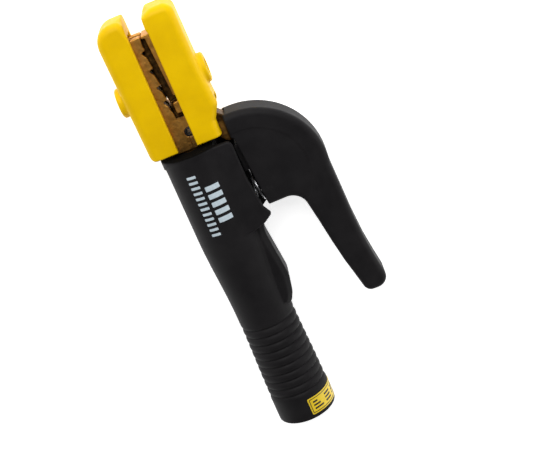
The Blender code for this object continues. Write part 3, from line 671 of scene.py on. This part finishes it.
def fixed_jaw_field(x, y, z):
    """Cast jaw with the toothed channel, the two pivot ears and the round stem."""
    back = JAW_X - JAW_DEPTH
    bottom = LAND_X - NOTCH_DEPTH
    outline = [(back, EAR_FRONT_Y, 0), (LAND_X + 0.4, EAR_FRONT_Y, 0)]
    for y0 in NOTCH_YS:
        outline += [(LAND_X - 0.5, y0 - 2.7, 0.9), (bottom, y0 - 0.4, 0.4), (bottom, y0 + 0.5, 0.3),
                    (LAND_X - 0.2, y0 + 1.1, 0.2), (LAND_X + 0.3, y0 + 1.7, 0.5)]
    outline += [(LAND_X - 0.1, JAW_TIP_Y - 5.9, 3), (LAND_X + 0.45, JAW_TIP_Y - 0.6, 0.6),
                (LAND_X - 0.4, JAW_TIP_Y, 0.5), (back, JAW_TIP_Y, 2.5)]
    blade = polygon(x, y, rounded(outline, 4))
    ears = rounded([(back, EAR_REAR_Y, 0.8), (4.4, EAR_REAR_Y, 2), (EAR_X, 185.4, 3),
                    (EAR_X, EAR_FRONT_Y, 1.5), (JAW_X + 0.8, EAR_FRONT_Y, 0),
                    (LAND_X, EAR_FRONT_Y + 4, 0), (back, EAR_FRONT_Y + 4, 0)])
    flat = union(blade, polygon(x, y, ears), 0.8)
    body = common(flat, np.abs(z) - JAW_HALF_Z, 0.6)
    seam = length(x - PIVOT[0] + 1.1, z - JAW_HALF_Z) - 0.28
    body = less(body, common(seam, y - PIVOT[1]), 0.08)
    way = common(band(x, -8.0, 30), np.abs(z) - EAR_INNER_Z, 0.6)
    body = less(body, common(way, band(y, EAR_REAR_Y - 2, EAR_FRONT_Y + 2)), 0.3)
    stem = common(length(x, z) - STEM_R, band(y, STEM_END_Y, 184.0), 0.6)
    body = union(body, stem, 0.8)
    body = less(body, common(from_pivot(x, y) - 9.3, np.abs(z) - EAR_INNER_Z), 0.2)
    channel = common(common(-7.5 - x, np.abs(z) - 2.5, 0.9), EAR_FRONT_Y - 1 - y)
    body = less(body, channel, 0.5)
    body = less(body, from_pivot(x, y) - PIN_R - 0.08, 0.25)
    tap = common(length(y - FIXED_BOSS[0], z) - SCREW_R - 0.1, x - JAW_X + 7.9)
    body = less(body, tap, 0.3)
    return less(body, common(length(x, y - HANDLE_SCREW_Y) - SCREW_R - 0.1, z + 1.2), 0.3)


def make_fixed_jaw():
    along = knots((140.3, 179, 0.7), (179, 250.1, 0.3))
    axes = (knots((-14.7, 8.9, 0.32)), along, knots((-8.1, 8.1, 0.32)))
    carve("fixed_jaw_casting", fixed_jaw_field, axes, "cast_brass", "handle_side", "fixed_jaw", 0.6,
          jaw_soot_and_shade)


def socket_field(x, y, z):
    """Drilled brass socket with chamfered rims and two tapped holes."""
    radius = length(x, z)
    body = common(radius - SOCKET_R, band(y, *SOCKET_ENDS), 0.5)
    mouth = SOCKET_INNER_R + np.clip(SOCKET_ENDS[0] + 1.4 - y, 0, 2)
    body = less(body, radius - mouth, 0.3)
    groove = common(np.abs(y - 146.0) - 0.7, SOCKET_R - 0.6 - radius, 0.2)
    body = less(body, groove, 0.2)
    for grub_y in GRUB_YS:
        body = less(body, common(length(y - grub_y, z) - GRUB_R - 0.12, x), 0.35)
    return body


def thread(along, around_a, around_b, radius, pitch, depth):
    """Distance to a threaded rod: its place along and around the axis, and its thread's size."""
    turn = (along / pitch - np.arctan2(around_b, around_a) / (2 * np.pi)) % 1.0
    return length(around_a, around_b) - radius + depth * np.abs(turn * 2 - 1) * 1.2


def hexagon(a, b, apothem):
    a, b = np.abs(a), np.abs(b)
    return np.maximum(b - apothem, a * math.sqrt(0.75) + b * 0.5 - apothem)


def grub_field(y0):
    """Set screw with a hexagon socket."""
    def field(x, y, z):
        body = common(thread(x, y - y0, z, GRUB_R, 0.9, 0.32), band(x, -10.0, -5.3), 0.3)
        body = common(body, length(y - y0, z) + np.abs(x + 7.65) - 4.95, 0.2)
        return less(body, common(hexagon(y - y0, z, 1.45), x + 7.6), 0.15)
    return field


def strip_field(x, y, z):
    """Dished copper strip under the set screws."""
    sheet = np.abs(x + 4.3 - 0.012 * z * z) - 0.32
    return common(sheet, common(np.abs(z) - 4.1, band(y, 103.1, 132.9), 1.5), 0.15)


def make_cable_clamp():
    across = knots((-10.8, 10.8, 0.5))
    along = knots((99.2, 102.5, 0.4), (102.5, 106, 1.0), (106, 128, 0.4), (128, 144, 1.4),
                  (144, 148, 0.35), (148, 157, 1.4), (157, 158.8, 0.4))
    carve("cable_socket_tube", socket_field, (across, along, across), "cast_brass", "handle_side",
          "cable_socket", 0.6)
    for name, y0 in zip(("clamp_screw_front", "clamp_screw_rear"), GRUB_YS):
        axes = (knots((-10.4, -5.0, 0.13)), knots((y0 - 3.3, y0 + 3.3, 0.16)), knots((-3.3, 3.3, 0.16)))
        carve(name + "_threaded", grub_field(y0), axes, "dark_steel", "handle_side", name, 0.3)
    axes = (knots((-5.2, -3.5, 0.2)), knots((102.6, 133.4, 0.5)), knots((-4.6, 4.6, 0.35)))
    carve("cable_pressure_plate", strip_field, axes, "copper_strip", "handle_side",
          "cable_pressure_strip", 0.3)


# --- Insulators

def insulator_field(side, boss_place, envelope, opening, tail_way):
    """Half shell over a jaw, with a way for the tail where one is needed.

    envelope and opening are outlines in (distance from the jaw plane, y).
    """
    boss_y, boss_height = boss_place

    def field(x, y, z):
        out = side * (x - JAW_X)
        shell = common(polygon(out, y, envelope), np.abs(z) - INS_HALF_Z, 4.3)
        worn = smooth_step(y, TIP_Y - 13, TIP_Y - 1) * smooth_step(z, -2.0, 9.0)
        shell = common(shell, polygon(out, y, opening), 0.9 + 3.3 * worn)
        from_screw = length(y - boss_y, z)
        face = INS_OUTER + boss_height
        boss = common(from_screw - BOSS_R, band(out, INS_OUTER - 6, face), 1.4)
        shell = union(shell, boss, 1.5)
        shell = less(shell, common(from_screw - RECESS_R, face - RECESS_DEPTH - out, 0.4), 0.5)
        shell = less(shell, from_screw - SCREW_R - 0.15)
        pocket = common(common(out - JAW_DEPTH - GAP, np.abs(z) - JAW_HALF_Z - GAP, 0.5),
                        y - POCKET_END_Y, 0.5)
        shell = less(shell, pocket, 0.35)
        if tail_way:
            way = common(8.0 - x, np.abs(z) - TAIL_HALF_Z - GAP, 0.5)
            shell = less(shell, common(way, y - 202.6, 0.5), 0.4)
        return shell
    return field


def make_insulators():
    fixed_envelope = rounded([(-12, 165, 0), (21.6, 165, 0), (23.1, TIP_Y, 10.5), (-12, TIP_Y, 0)], 14)
    fixed_opening = rounded([(INS_INNER, INS_REAR_Y, 0), (22.2, INS_REAR_Y, 3.9), (24.6, 300, 0),
                             (INS_INNER, 300, 0)])
    moving_envelope = rounded([(-12, 165, 0), (20.7, 165, 0), (20.7, 191.2, 3.5), (25.05, 199.6, 4.5),
                               (23.35, 229.0, 8), (23.1, TIP_Y, 6.2), (-12, TIP_Y, 0)], 12)
    moving_opening = rounded([(INS_INNER, INS_REAR_Y, 0), (21.3, INS_REAR_Y, 1.6), (32, 190, 0), (32, 266, 0),
                              (10.9, 266, 0), (5.1, 258.6, 2.5), (4.9, 252.6, 0.6), (INS_INNER, 249.8, 0.6)])
    along = knots((181.2, 184, 0.4), (184, 207, 0.6), (207, 228, 0.42), (228, 248, 0.9), (248, 262.7, 0.42))
    deep = knots((-13.0, 13.0, 0.45))
    for side, name, body, boss_place, envelope, opening in (
            (-1, "fixed", "handle_side", FIXED_BOSS, fixed_envelope, fixed_opening),
            (1, "moving", "lever_side", MOVING_BOSS, moving_envelope, moving_opening)):
        reach = sorted((JAW_X + side * 4.0, JAW_X + side * 28.0))
        carve(name + "_insulator_shell", insulator_field(side, boss_place, envelope, opening, side > 0),
              (knots((*reach, 0.45)), along, deep), "yellow_nylon", body, name + "_insulator")


# --- The lever side

def moving_jaw_field(x, y, z):
    """Cast jaw with its middle rib, the tongue round the pivot and the tail in the lever."""
    back = JAW_X + JAW_DEPTH
    blade = rounded([(JAW_X + 2.1, BLADE_REAR_Y, 0.5), (back, BLADE_REAR_Y, 0), (back, JAW_TIP_Y, 2.5),
                     (JAW_X + 0.5, JAW_TIP_Y, 0.6), (JAW_X + 0.5, 247.9, 0.3), (JAW_X + 2.4, 247.5, 0.5),
                     (JAW_X + 4.2, 212.4, 0.8), (JAW_X + 6.4, 212.0, 0.5), (JAW_X + 6.4, 209.0, 0.5),
                     (JAW_X + 2.1, 208.5, 0.8)], 4)
    body = common(polygon(x, y, blade), np.abs(z) - JAW_HALF_Z, 0.5)
    rib = [(JAW_X + 0.6, BLADE_REAR_Y + 0.2), (JAW_X + 0.6, 207.0), (JAW_X - 0.2, 212.0),
           (JAW_X - 2.2, 246.0), (JAW_X + 0.6, 248.4), (back - 3, 248.4),
           (back - 3, BLADE_REAR_Y + 0.2)]
    body = union(body, common(polygon(x, y, rib), np.abs(z) - RIB_HALF_Z, 0.6), 0.5)
    tongue = arc(PIVOT, 8.0, 190, 330, 24) + [(11.5, 186.0), (back, 190.0), (back, 208.0), (-1.0, 208.0),
                                              (-1.0, 200.0)]
    body = union(body, common(polygon(x, y, tongue), np.abs(z) - TONGUE_HALF_Z, 0.5), 0.7)
    tail = rounded([(9.8, 184.8, 0), (15.2, 181.9, 3), (20.5, 176.2, 3), (TAIL_END_X, 173.8, 1.5),
                    (TAIL_END_X, 184.5, 1.5), (25.4, 189.6, 4), (12.0, 202.0, 3), (9.8, 202.0, 0)])
    body = union(body, common(polygon(x, y, tail), np.abs(z) - TAIL_HALF_Z, 0.8), 0.7)
    body = less(body, from_pivot(x, y) - BUSH_R - 0.06, 0.3)
    body = less(body, common(length(y - MOVING_BOSS[0], z) - SCREW_R - 0.1, JAW_X + 7.9 - x), 0.3)
    from_screw = length(x - TAIL_SCREW[0], y - TAIL_SCREW[1])
    return less(body, common(from_screw - SCREW_R - 0.1, z - 3.0), 0.3)


def make_moving_jaw():
    across = knots((-5.8, 13.0, 0.34), (13.0, 42.6, 0.55))
    axes = (across, knots((173.2, 250.1, 0.34)), knots((-8.1, 8.1, 0.34)))
    carve("moving_jaw_casting", moving_jaw_field, axes, "cast_brass", "lever_side", "moving_jaw", 0.6,
          jaw_soot_and_shade)


def lever_outline():
    """Lever in the plane of the swing: block, round arch and splayed arm."""
    outline = [(15.0, 132.9), (15.0, 191.6), (24.0, 191.6)]
    outline += arc(ARCH_CENTRE, ARCH_R, 90, -9, 60)
    outline += [(69.3, 126.0), (69.8, 108.0), (71.0, 91.0), (72.8, 78.0)]
    outline += arc((67.78, 67.4), 6.67, 8, -88, 20)
    outline += arc((65.0, 66.0), 5.3, 262, 195, 12)
    outline += [(57.6, 74.5), (55.3, 84.0), (52.6, 98.5), (50.2, 113.5)]
    outline += arc((38.4, 123.4), 9.9, 10, 94, 24)
    return outline


LEVER_OUTLINE = lever_outline()
LEVER_BOTTOM = [(0.0, 125.0), (28.6, 125.0), (24.3, 177.0), (23.0, 178.6), (23.0, 200.0), (0.0, 200.0)]


def lever_field(x, y, z):
    """Moulded lever: broad edges, slightly sunk faces, gap web, tail socket and spring pocket."""
    across = polygon(x, y, LEVER_OUTLINE)
    inside_rim = ARCH_R - length(x - ARCH_CENTRE[0], y - ARCH_CENTRE[1])
    arch = smooth_step(y, 118.0, 140.0)
    half = LEVER_HALF_Z - 0.35 * arch * smooth_step(inside_rim, 10.6, 11.6)
    body = common(across, np.abs(z) - half, 3.7)
    body = less(body, polygon(x, y, LEVER_BOTTOM), 0.7)
    body = union(body, common(polygon(x, y, LEVER_WEB), band(z, *LEVER_WEB_Z), 0.6))
    body = union(body, common(polygon(x, y, LEVER_SKIRT), band(z, *LEVER_SKIRT_Z), 0.3))
    socket_end = TAIL_END_X + GAP
    socket = polygon(x, y, [(15.0, 177.7), (20.0, 175.9), (socket_end, 173.4), (socket_end, 184.9),
                            (25.4, 190.1), (15.0, 199.7)])
    body = less(body, common(socket, np.abs(z) - TAIL_HALF_Z - GAP, 0.4), 0.35)
    pocket = common(length(y - SPRING_Y, z) - SPRING_POCKET_R, x - SPRING_POCKET_X, 0.5)
    body = less(body, pocket, 0.5)
    from_screw = length(x - TAIL_SCREW[0], y - TAIL_SCREW[1])
    return less(body, screw_hole(from_screw, z, 2.2, LEVER_HALF_Z, 3.2), 0.4)


def make_lever():
    axes = (knots((21.3, 75.3, 0.6)), knots((59.8, 192.4, 0.6)), knots((-11.6, 11.6, 0.58)))
    carve("lever_moulding", lever_field, axes, "black_nylon", "lever_side", "lever")


def pin_field(x, y, z):
    """Slotted spring pin with rounded ends."""
    radius = from_pivot(x, y)
    body = common(radius - PIN_R, np.abs(z) - JAW_HALF_Z + 0.3, 0.5)
    body = less(body, radius - 1.7, 0.15)
    return less(body, common(np.abs(x - PIVOT[0]) - 0.4, y - PIVOT[1]), 0.12)


def bush_field(x, y, z):
    """Turned bush with chamfered rims."""
    radius = from_pivot(x, y)
    return less(common(radius - BUSH_R, np.abs(z) - TONGUE_HALF_Z, 0.3), radius - PIN_R - 0.1, 0.25)


def make_pivot():
    for name, field, half, height, finish, body, node in (
            ("pivot_spring_pin", pin_field, 3.1, 7.6, "dark_steel", "handle_side", "pivot_pin"),
            ("pivot_bush_turned", bush_field, 4.3, 4.7, "cast_brass", "lever_side", "pivot_bush")):
        wide = [knots((centre - half, centre + half, 0.14)) for centre in PIVOT]
        deep = knots((-height, -height + 1.2, 0.14), (-height + 1.2, height - 1.2, 0.5),
                     (height - 1.2, height, 0.14))
        carve(name, field, (*wide, deep), finish, body, node, 0.3)


# --- Screws and spring

def screw_field(axis, side, face, end, centre):
    """Pan-headed screw along an axis, its head at face on the given side, with a cross recess."""
    def field(x, y, z):
        along = side * (x if axis == "X" else z)
        across = (y - centre[0], z - centre[1]) if axis == "X" else (x - centre[0], y - centre[1])
        radius = length(*across)
        top, seat = side * face, side * face - HEAD_HEIGHT
        dome = length(radius, along - (top - DOME_R)) - DOME_R
        head = common(common(radius - HEAD_R, dome, 0.5), seat - along, 0.15)
        reach = side * end
        shank = common(thread(along, *across, SCREW_R, 0.8, 0.3), band(along, reach, seat + 0.6), 0.25)
        shank = common(shank, radius - (along - reach) - 0.9, 0.2)
        body = union(head, shank, 0.2)
        draft = 0.25 * (along - top + CROSS_DEPTH)
        for first, second in (across, across[::-1]):
            arm = common(np.abs(first) - 1.75 - draft, np.abs(second) - 0.38 - draft * 0.5, 0.1)
            body = less(body, common(arm, top - CROSS_DEPTH - along), 0.1)
        return body
    return field


def washer_field(side, seat, boss_y):
    """Flat washer with rounded rims."""
    def field(x, y, z):
        radius = length(y - boss_y, z)
        ring = common(radius - RECESS_R + 0.4, band(side * (x - seat), 0.12, 0.68), 0.15)
        return less(ring, radius - SCREW_R - 0.2, 0.12)
    return field


def make_screws():
    across = knots((-4.3, 4.3, 0.16))
    wide = knots((-5.1, 5.1, 0.2))
    for side, name, body, boss_place in ((-1, "fixed", "handle_side", FIXED_BOSS),
                                         (1, "moving", "lever_side", MOVING_BOSS)):
        boss_y, boss_height = boss_place
        seat = JAW_X + side * (INS_OUTER + boss_height - RECESS_DEPTH)
        face = seat + side * (0.72 + HEAD_HEIGHT)
        end = JAW_X + side * 8.4
        reach = sorted((end - side * 0.4, face + side * 0.4))
        axes = (knots((*reach, 0.13)), across + boss_y, across)
        carve(name + "_insulator_screw_pan", screw_field("X", side, face, end, (boss_y, 0)), axes,
              "zinc_steel", body, name + "_insulator_screw", 0.3)
        washer = sorted((seat - side * 0.2, seat + side * 1.0))
        axes = (knots((*washer, 0.12)), wide + boss_y, wide)
        carve(name + "_insulator_washer_flat", washer_field(side, seat, boss_y), axes, "zinc_steel",
              body, name + "_insulator_washer", 0.2)
    for name, centre, face, end, body in (
            ("handle_screw", (0, HANDLE_SCREW_Y), -HANDLE_R + 0.3, -2.4, "handle_side"),
            ("lever_screw", TAIL_SCREW, -LEVER_HALF_Z + 0.4, 1.8, "lever_side")):
        axes = (across + centre[0], across + centre[1], knots((face - 0.4, end + 0.4, 0.13)))
        carve(name + "_pan", screw_field("Z", -1, face, end, centre), axes, "zinc_steel", body, name, 0.3)


def seat_field(x, y, z):
    """Pressed steel cup that centres the spring on the housing floor."""
    radius = length(y - SPRING_Y, z)
    low = TROUGH_FLOOR_X + GAP
    plate = common(radius - SPRING_SEAT_R, band(x, low, low + 0.8), 0.25)
    boss = common(radius - 5.3 + 0.12 * (x - low), band(x, low, low + 2.6), 0.6)
    body = union(plate, boss, 0.3)
    return less(body, common(radius - 3.4, low + 1.5 - x, 0.3), 0.3)


def spring_path():
    """Centre line of the return spring: a dead turn at each end and open turns between."""
    start = TROUGH_FLOOR_X + GAP + 0.8 + GAP + WIRE_R
    end = SPRING_POCKET_X - GAP - WIRE_R
    share = np.linspace(0, 1, int(SPRING_TURNS * 72) + 1)
    dead = 0.85 / SPRING_TURNS
    slow = (2 * WIRE_R + 0.1) * SPRING_TURNS
    even = np.clip((share - dead) / (1 - 2 * dead), 0, 1)
    opened = smooth_step(share, dead, 1 - dead) * 0.35 + 0.65 * even
    rise = dead * slow + (end - start - 2 * dead * slow) * opened
    rise = np.where(share < dead, share * slow, rise)
    rise = np.where(share > 1 - dead, end - start - (1 - share) * slow, rise)
    angle = 2 * math.pi * (SPRING_TURNS * share + SPRING_PHASE)
    return np.stack([start + rise, SPRING_Y + SPRING_R * np.cos(angle), SPRING_R * np.sin(angle)], 1)


def tube(path, radius, sides=20):
    """Round wire along a path, with domed ends."""
    path = np.asarray(path, float)
    forward = np.gradient(path, axis=0)
    forward /= np.sqrt((forward ** 2).sum(1))[:, None]
    axis = np.array([1.0, 0.0, 0.0])
    aside = np.cross(forward, axis)
    aside /= np.sqrt((aside ** 2).sum(1))[:, None]
    above = np.cross(aside, forward)
    turns = np.linspace(0, 2 * math.pi, sides, endpoint=False)
    rings = [(point, index, 1.0) for index, point in enumerate(path)]
    for dome in (0.85, 0.55, 0.2):
        ahead = radius * 0.5 * (1 - dome)
        share = math.sqrt(1 - (1 - dome) ** 2)
        rings.insert(0, (path[0] - forward[0] * ahead, 0, share))
        rings.append((path[-1] + forward[-1] * ahead, -1, share))
    points = []
    for centre, index, share in rings:
        for turn in turns:
            spoke = aside[index] * math.cos(turn) + above[index] * math.sin(turn)
            points.append(centre + spoke * radius * share)
    faces = []
    for ring in range(len(rings) - 1):
        for side in range(sides):
            after = (side + 1) % sides
            faces.append((ring * sides + side, ring * sides + after, (ring + 1) * sides + after,
                          (ring + 1) * sides + side))
    faces.append(tuple(range(sides))[::-1])
    faces.append(tuple(range((len(rings) - 1) * sides, len(rings) * sides)))
    return points, faces


def make_spring():
    low = TROUGH_FLOOR_X + GAP
    wide = knots((-9, 9, 0.32))
    axes = (knots((low - 0.3, low + 3.0, 0.2)), wide + SPRING_Y, wide)
    carve("spring_seat_pressed", seat_field, axes, "zinc_steel", "handle_side", "spring_seat", 0.4)
    points, faces = tube(spring_path(), WIRE_R)
    spring = new_piece("return_spring_coil", points, faces, "spring_steel", node="return_spring")
    start, end = world([(low + 1.2, SPRING_Y, 0), (SPRING_POCKET_X - 1.0, SPRING_Y, 0)])
    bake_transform(spring)


# --- Label and print

def patches(rectangles, corner, place, low, high, step=0.45):
    """Thin closed patches with rounded corners, from (u0, u1, v0, v1) rectangles.

    place turns (u, v) into points and outward directions. low and high are the
    heights of a patch's underside and face over those points.
    """
    points, faces = [], []
    for u0, u1, v0, v1 in rectangles:
        radius = min(corner, (v1 - v0) / 2, (u1 - u0) / 2)
        turns = np.linspace(0, math.pi / 2, 6)
        ends = radius * (1 - np.cos(turns))
        middle = np.linspace(v0 + radius, v1 - radius, max(2, round((v1 - v0) / step)))[1:-1]
        rows = np.concatenate([v0 + ends, middle, (v1 - ends)[::-1]])
        beyond = np.maximum(np.maximum(v0 + radius - rows, rows - v1 + radius), 0)
        inset = radius - np.sqrt(np.maximum(radius ** 2 - beyond ** 2, 0))
        shares = np.linspace(0, 1, max(3, round((u1 - u0) / step)))
        us = (u0 + inset)[:, None] + (u1 - u0 - 2 * inset)[:, None] * shares
        base, outward = place(us.ravel(), np.repeat(rows, len(shares)))
        first = len(points)
        points += list(base + outward * high) + list(base + outward * low)
        wide, tall, under = len(shares), len(rows), len(base)
        grid = first + np.arange(wide * tall).reshape(tall, wide)
        for row in range(tall - 1):
            for column in range(wide - 1):
                quad = (*grid[row, column:column + 2], *grid[row + 1, column:column + 2][::-1])
                faces.append(quad)
                faces.append(tuple(index + under for index in quad[::-1]))
        rim = list(grid[0]) + list(grid[1:, -1]) + list(grid[-1, -2::-1]) + list(grid[-2:0:-1, 0])
        for index, after in zip(rim, rim[1:] + rim[:1]):
            faces.append((after, index, index + under, after + under))
    return points, faces


def on_round(field, radius, u, v):
    """Points on the handle, u millimetres round from the near line towards the lever and v along."""
    turn = u / radius
    start = np.stack([radius * np.sin(turn), v, radius * np.cos(turn)], 1)
    return pull(field, start, np.full(len(start), 0.5))


def make_label():
    """Plain film label on the collar, printed with a border and generic bars."""
    u0, u1 = (COLLAR_R * math.radians(angle) for angle in LABEL_ANGLES)
    v0, v1 = LABEL_YS

    def collar(x, y, z):
        return length(x, z) - COLLAR_R

    def place(u, v):
        return on_round(collar, COLLAR_R, u, v)

    film = patches([(u0, u1, v0, v1)], 0.8, place, 0.0, 0.2)
    new_piece("collar_label_film", *film, "label_film", "handle_side", "collar_label")
    margin, line = 0.8, 0.45
    marks = [(u0 + margin, u1 - margin, v, v + line) for v in (v0 + margin, v1 - margin - line)]
    marks += [(u, u + line, v0 + margin + line, v1 - margin - line)
              for u in (u0 + margin, u1 - margin - line)]
    for row in range(3):
        v = v0 + 2.6 + row * 2.2
        spans = ((2.8, 9.2 - 1.6 * row), (11.8, 17.4), (20.0, 29.0 - 2.2 * (row % 2)))
        marks += [(u0 + start, u0 + end, v, v + 1.1) for start, end in spans]
    ink = patches(marks, 0.2, place, 0.15, 0.225)
    new_piece("collar_label_print", *ink, "black_ink", "handle_side")


def bars(count, u0, u1, first, pitch, wide):
    """Rectangles of one length at even steps along the handle."""
    return [(u0, u1, first + pitch * index, first + pitch * index + wide) for index in range(count)]


def make_print():
    """Pale generic stripes and ticks printed on the round side of the spring housing."""
    def place(u, v):
        return on_round(handle_field, HANDLE_R, u, v)

    marks = bars(5, -1.0, 7.4, 137.4, 4.9, 3.0) + bars(12, -8.6, -3.1, 130.6, 3.3, 1.6)
    ink = patches(marks, 0.35, place, -0.05, 0.05)
    new_piece("housing_print", *ink, "pale_ink", "handle_side")


# --- Light and camera

def make_camera():
    """Camera that looks down at the holder."""
    tilt, yaw, roll = (math.radians(angle) for angle in CAMERA_ANGLES)
    back = Vector((math.cos(tilt) * math.sin(yaw), math.sin(tilt), math.cos(tilt) * math.cos(yaw)))
    along = (Vector((0, 1, 0)) - back * back.y).normalized()
    aside = along.cross(back)
    up = along * math.cos(roll) + aside * math.sin(roll)
    right = aside * math.cos(roll) - along * math.sin(roll)
    data = bpy.data.cameras.new("camera")
    data.lens = CAMERA_LENS
    data.sensor_width = 36.0
    data.clip_start = 0.01
    camera = new_object("camera", data)
    place = (Vector(CAMERA_TARGET) + back * CAMERA_DISTANCE + SHIFT) * MM
    camera.matrix_world = Matrix.Translation(place) @ Matrix((right, up, back)).transposed().to_4x4()
    bpy.context.scene.camera = camera


def area_light(name, place, size, power):
    """Square lamp at a place in metres that shines at the middle of the frame."""
    data = bpy.data.lights.new(name, "AREA")
    data.shape = "SQUARE"
    data.size = size
    data.energy = power
    lamp = new_object(name, data)
    lamp.location = place
    lamp.rotation_euler = (-lamp.location).to_track_quat("-Z", "Y").to_euler()


def make_floor(half=3.0):
    """Pale floor that glows a little."""
    mesh = bpy.data.meshes.new("floor")
    corners = [(-half, -half, 0), (half, -half, 0), (half, half, 0), (-half, half, 0)]
    mesh.from_pydata(corners, [], [(0, 1, 2, 3)])
    add, finish = begin_material("floor", Roughness=0.9, Specular_IOR_Level=0.1,
                                 Emission_Color=(1, 1, 1, 1), Emission_Strength=0.75)
    mottle = noise(add, millimetres(add), 60.0, 3.0)
    mesh.materials.append(finish(blend_colour(add, mottle, (0.90, 0.90, 0.90), (0.93, 0.93, 0.925))))
    new_object("floor", mesh)


def make_surround():
    """Soft surround, white at the sides and dim overhead."""
    surround = bpy.data.worlds.new("surround")
    surround.use_nodes = True
    nodes, links = surround.node_tree.nodes, surround.node_tree.links
    direction = nodes.new("ShaderNodeTexCoord")
    split = nodes.new("ShaderNodeSeparateXYZ")
    ramp = nodes.new("ShaderNodeValToRGB")
    links.new(direction.outputs["Generated"], split.inputs[0])
    links.new(split.outputs["Z"], ramp.inputs["Fac"])
    links.new(ramp.outputs["Color"], nodes["Background"].inputs["Color"])
    sides, overhead = ramp.color_ramp.elements
    sides.position, sides.color = 0.15, (1.0, 1.0, 1.0, 1)
    overhead.position, overhead.color = 0.8, (0.12, 0.12, 0.125, 1)
    nodes["Background"].inputs["Strength"].default_value = 0.75
    bpy.context.scene.world = surround


def make_light():
    area_light("tip_key", (0.05, 0.72, 0.80), 0.7, 8.2)
    area_light("left_fill", (-0.85, 0.1, 0.5), 0.7, 0.3)
    area_light("right_fill", (0.95, -0.25, 0.25), 0.6, 2.2)
    bpy.context.scene.view_settings.view_transform = "Standard"


def main():
    make_handle()
    make_fixed_jaw()
    make_cable_clamp()
    make_insulators()
    make_moving_jaw()
    make_lever()
    make_pivot()
    make_screws()
    make_spring()
    make_label()
    make_print()
    make_camera()
    make_floor()
    make_surround()
    make_light()


main()
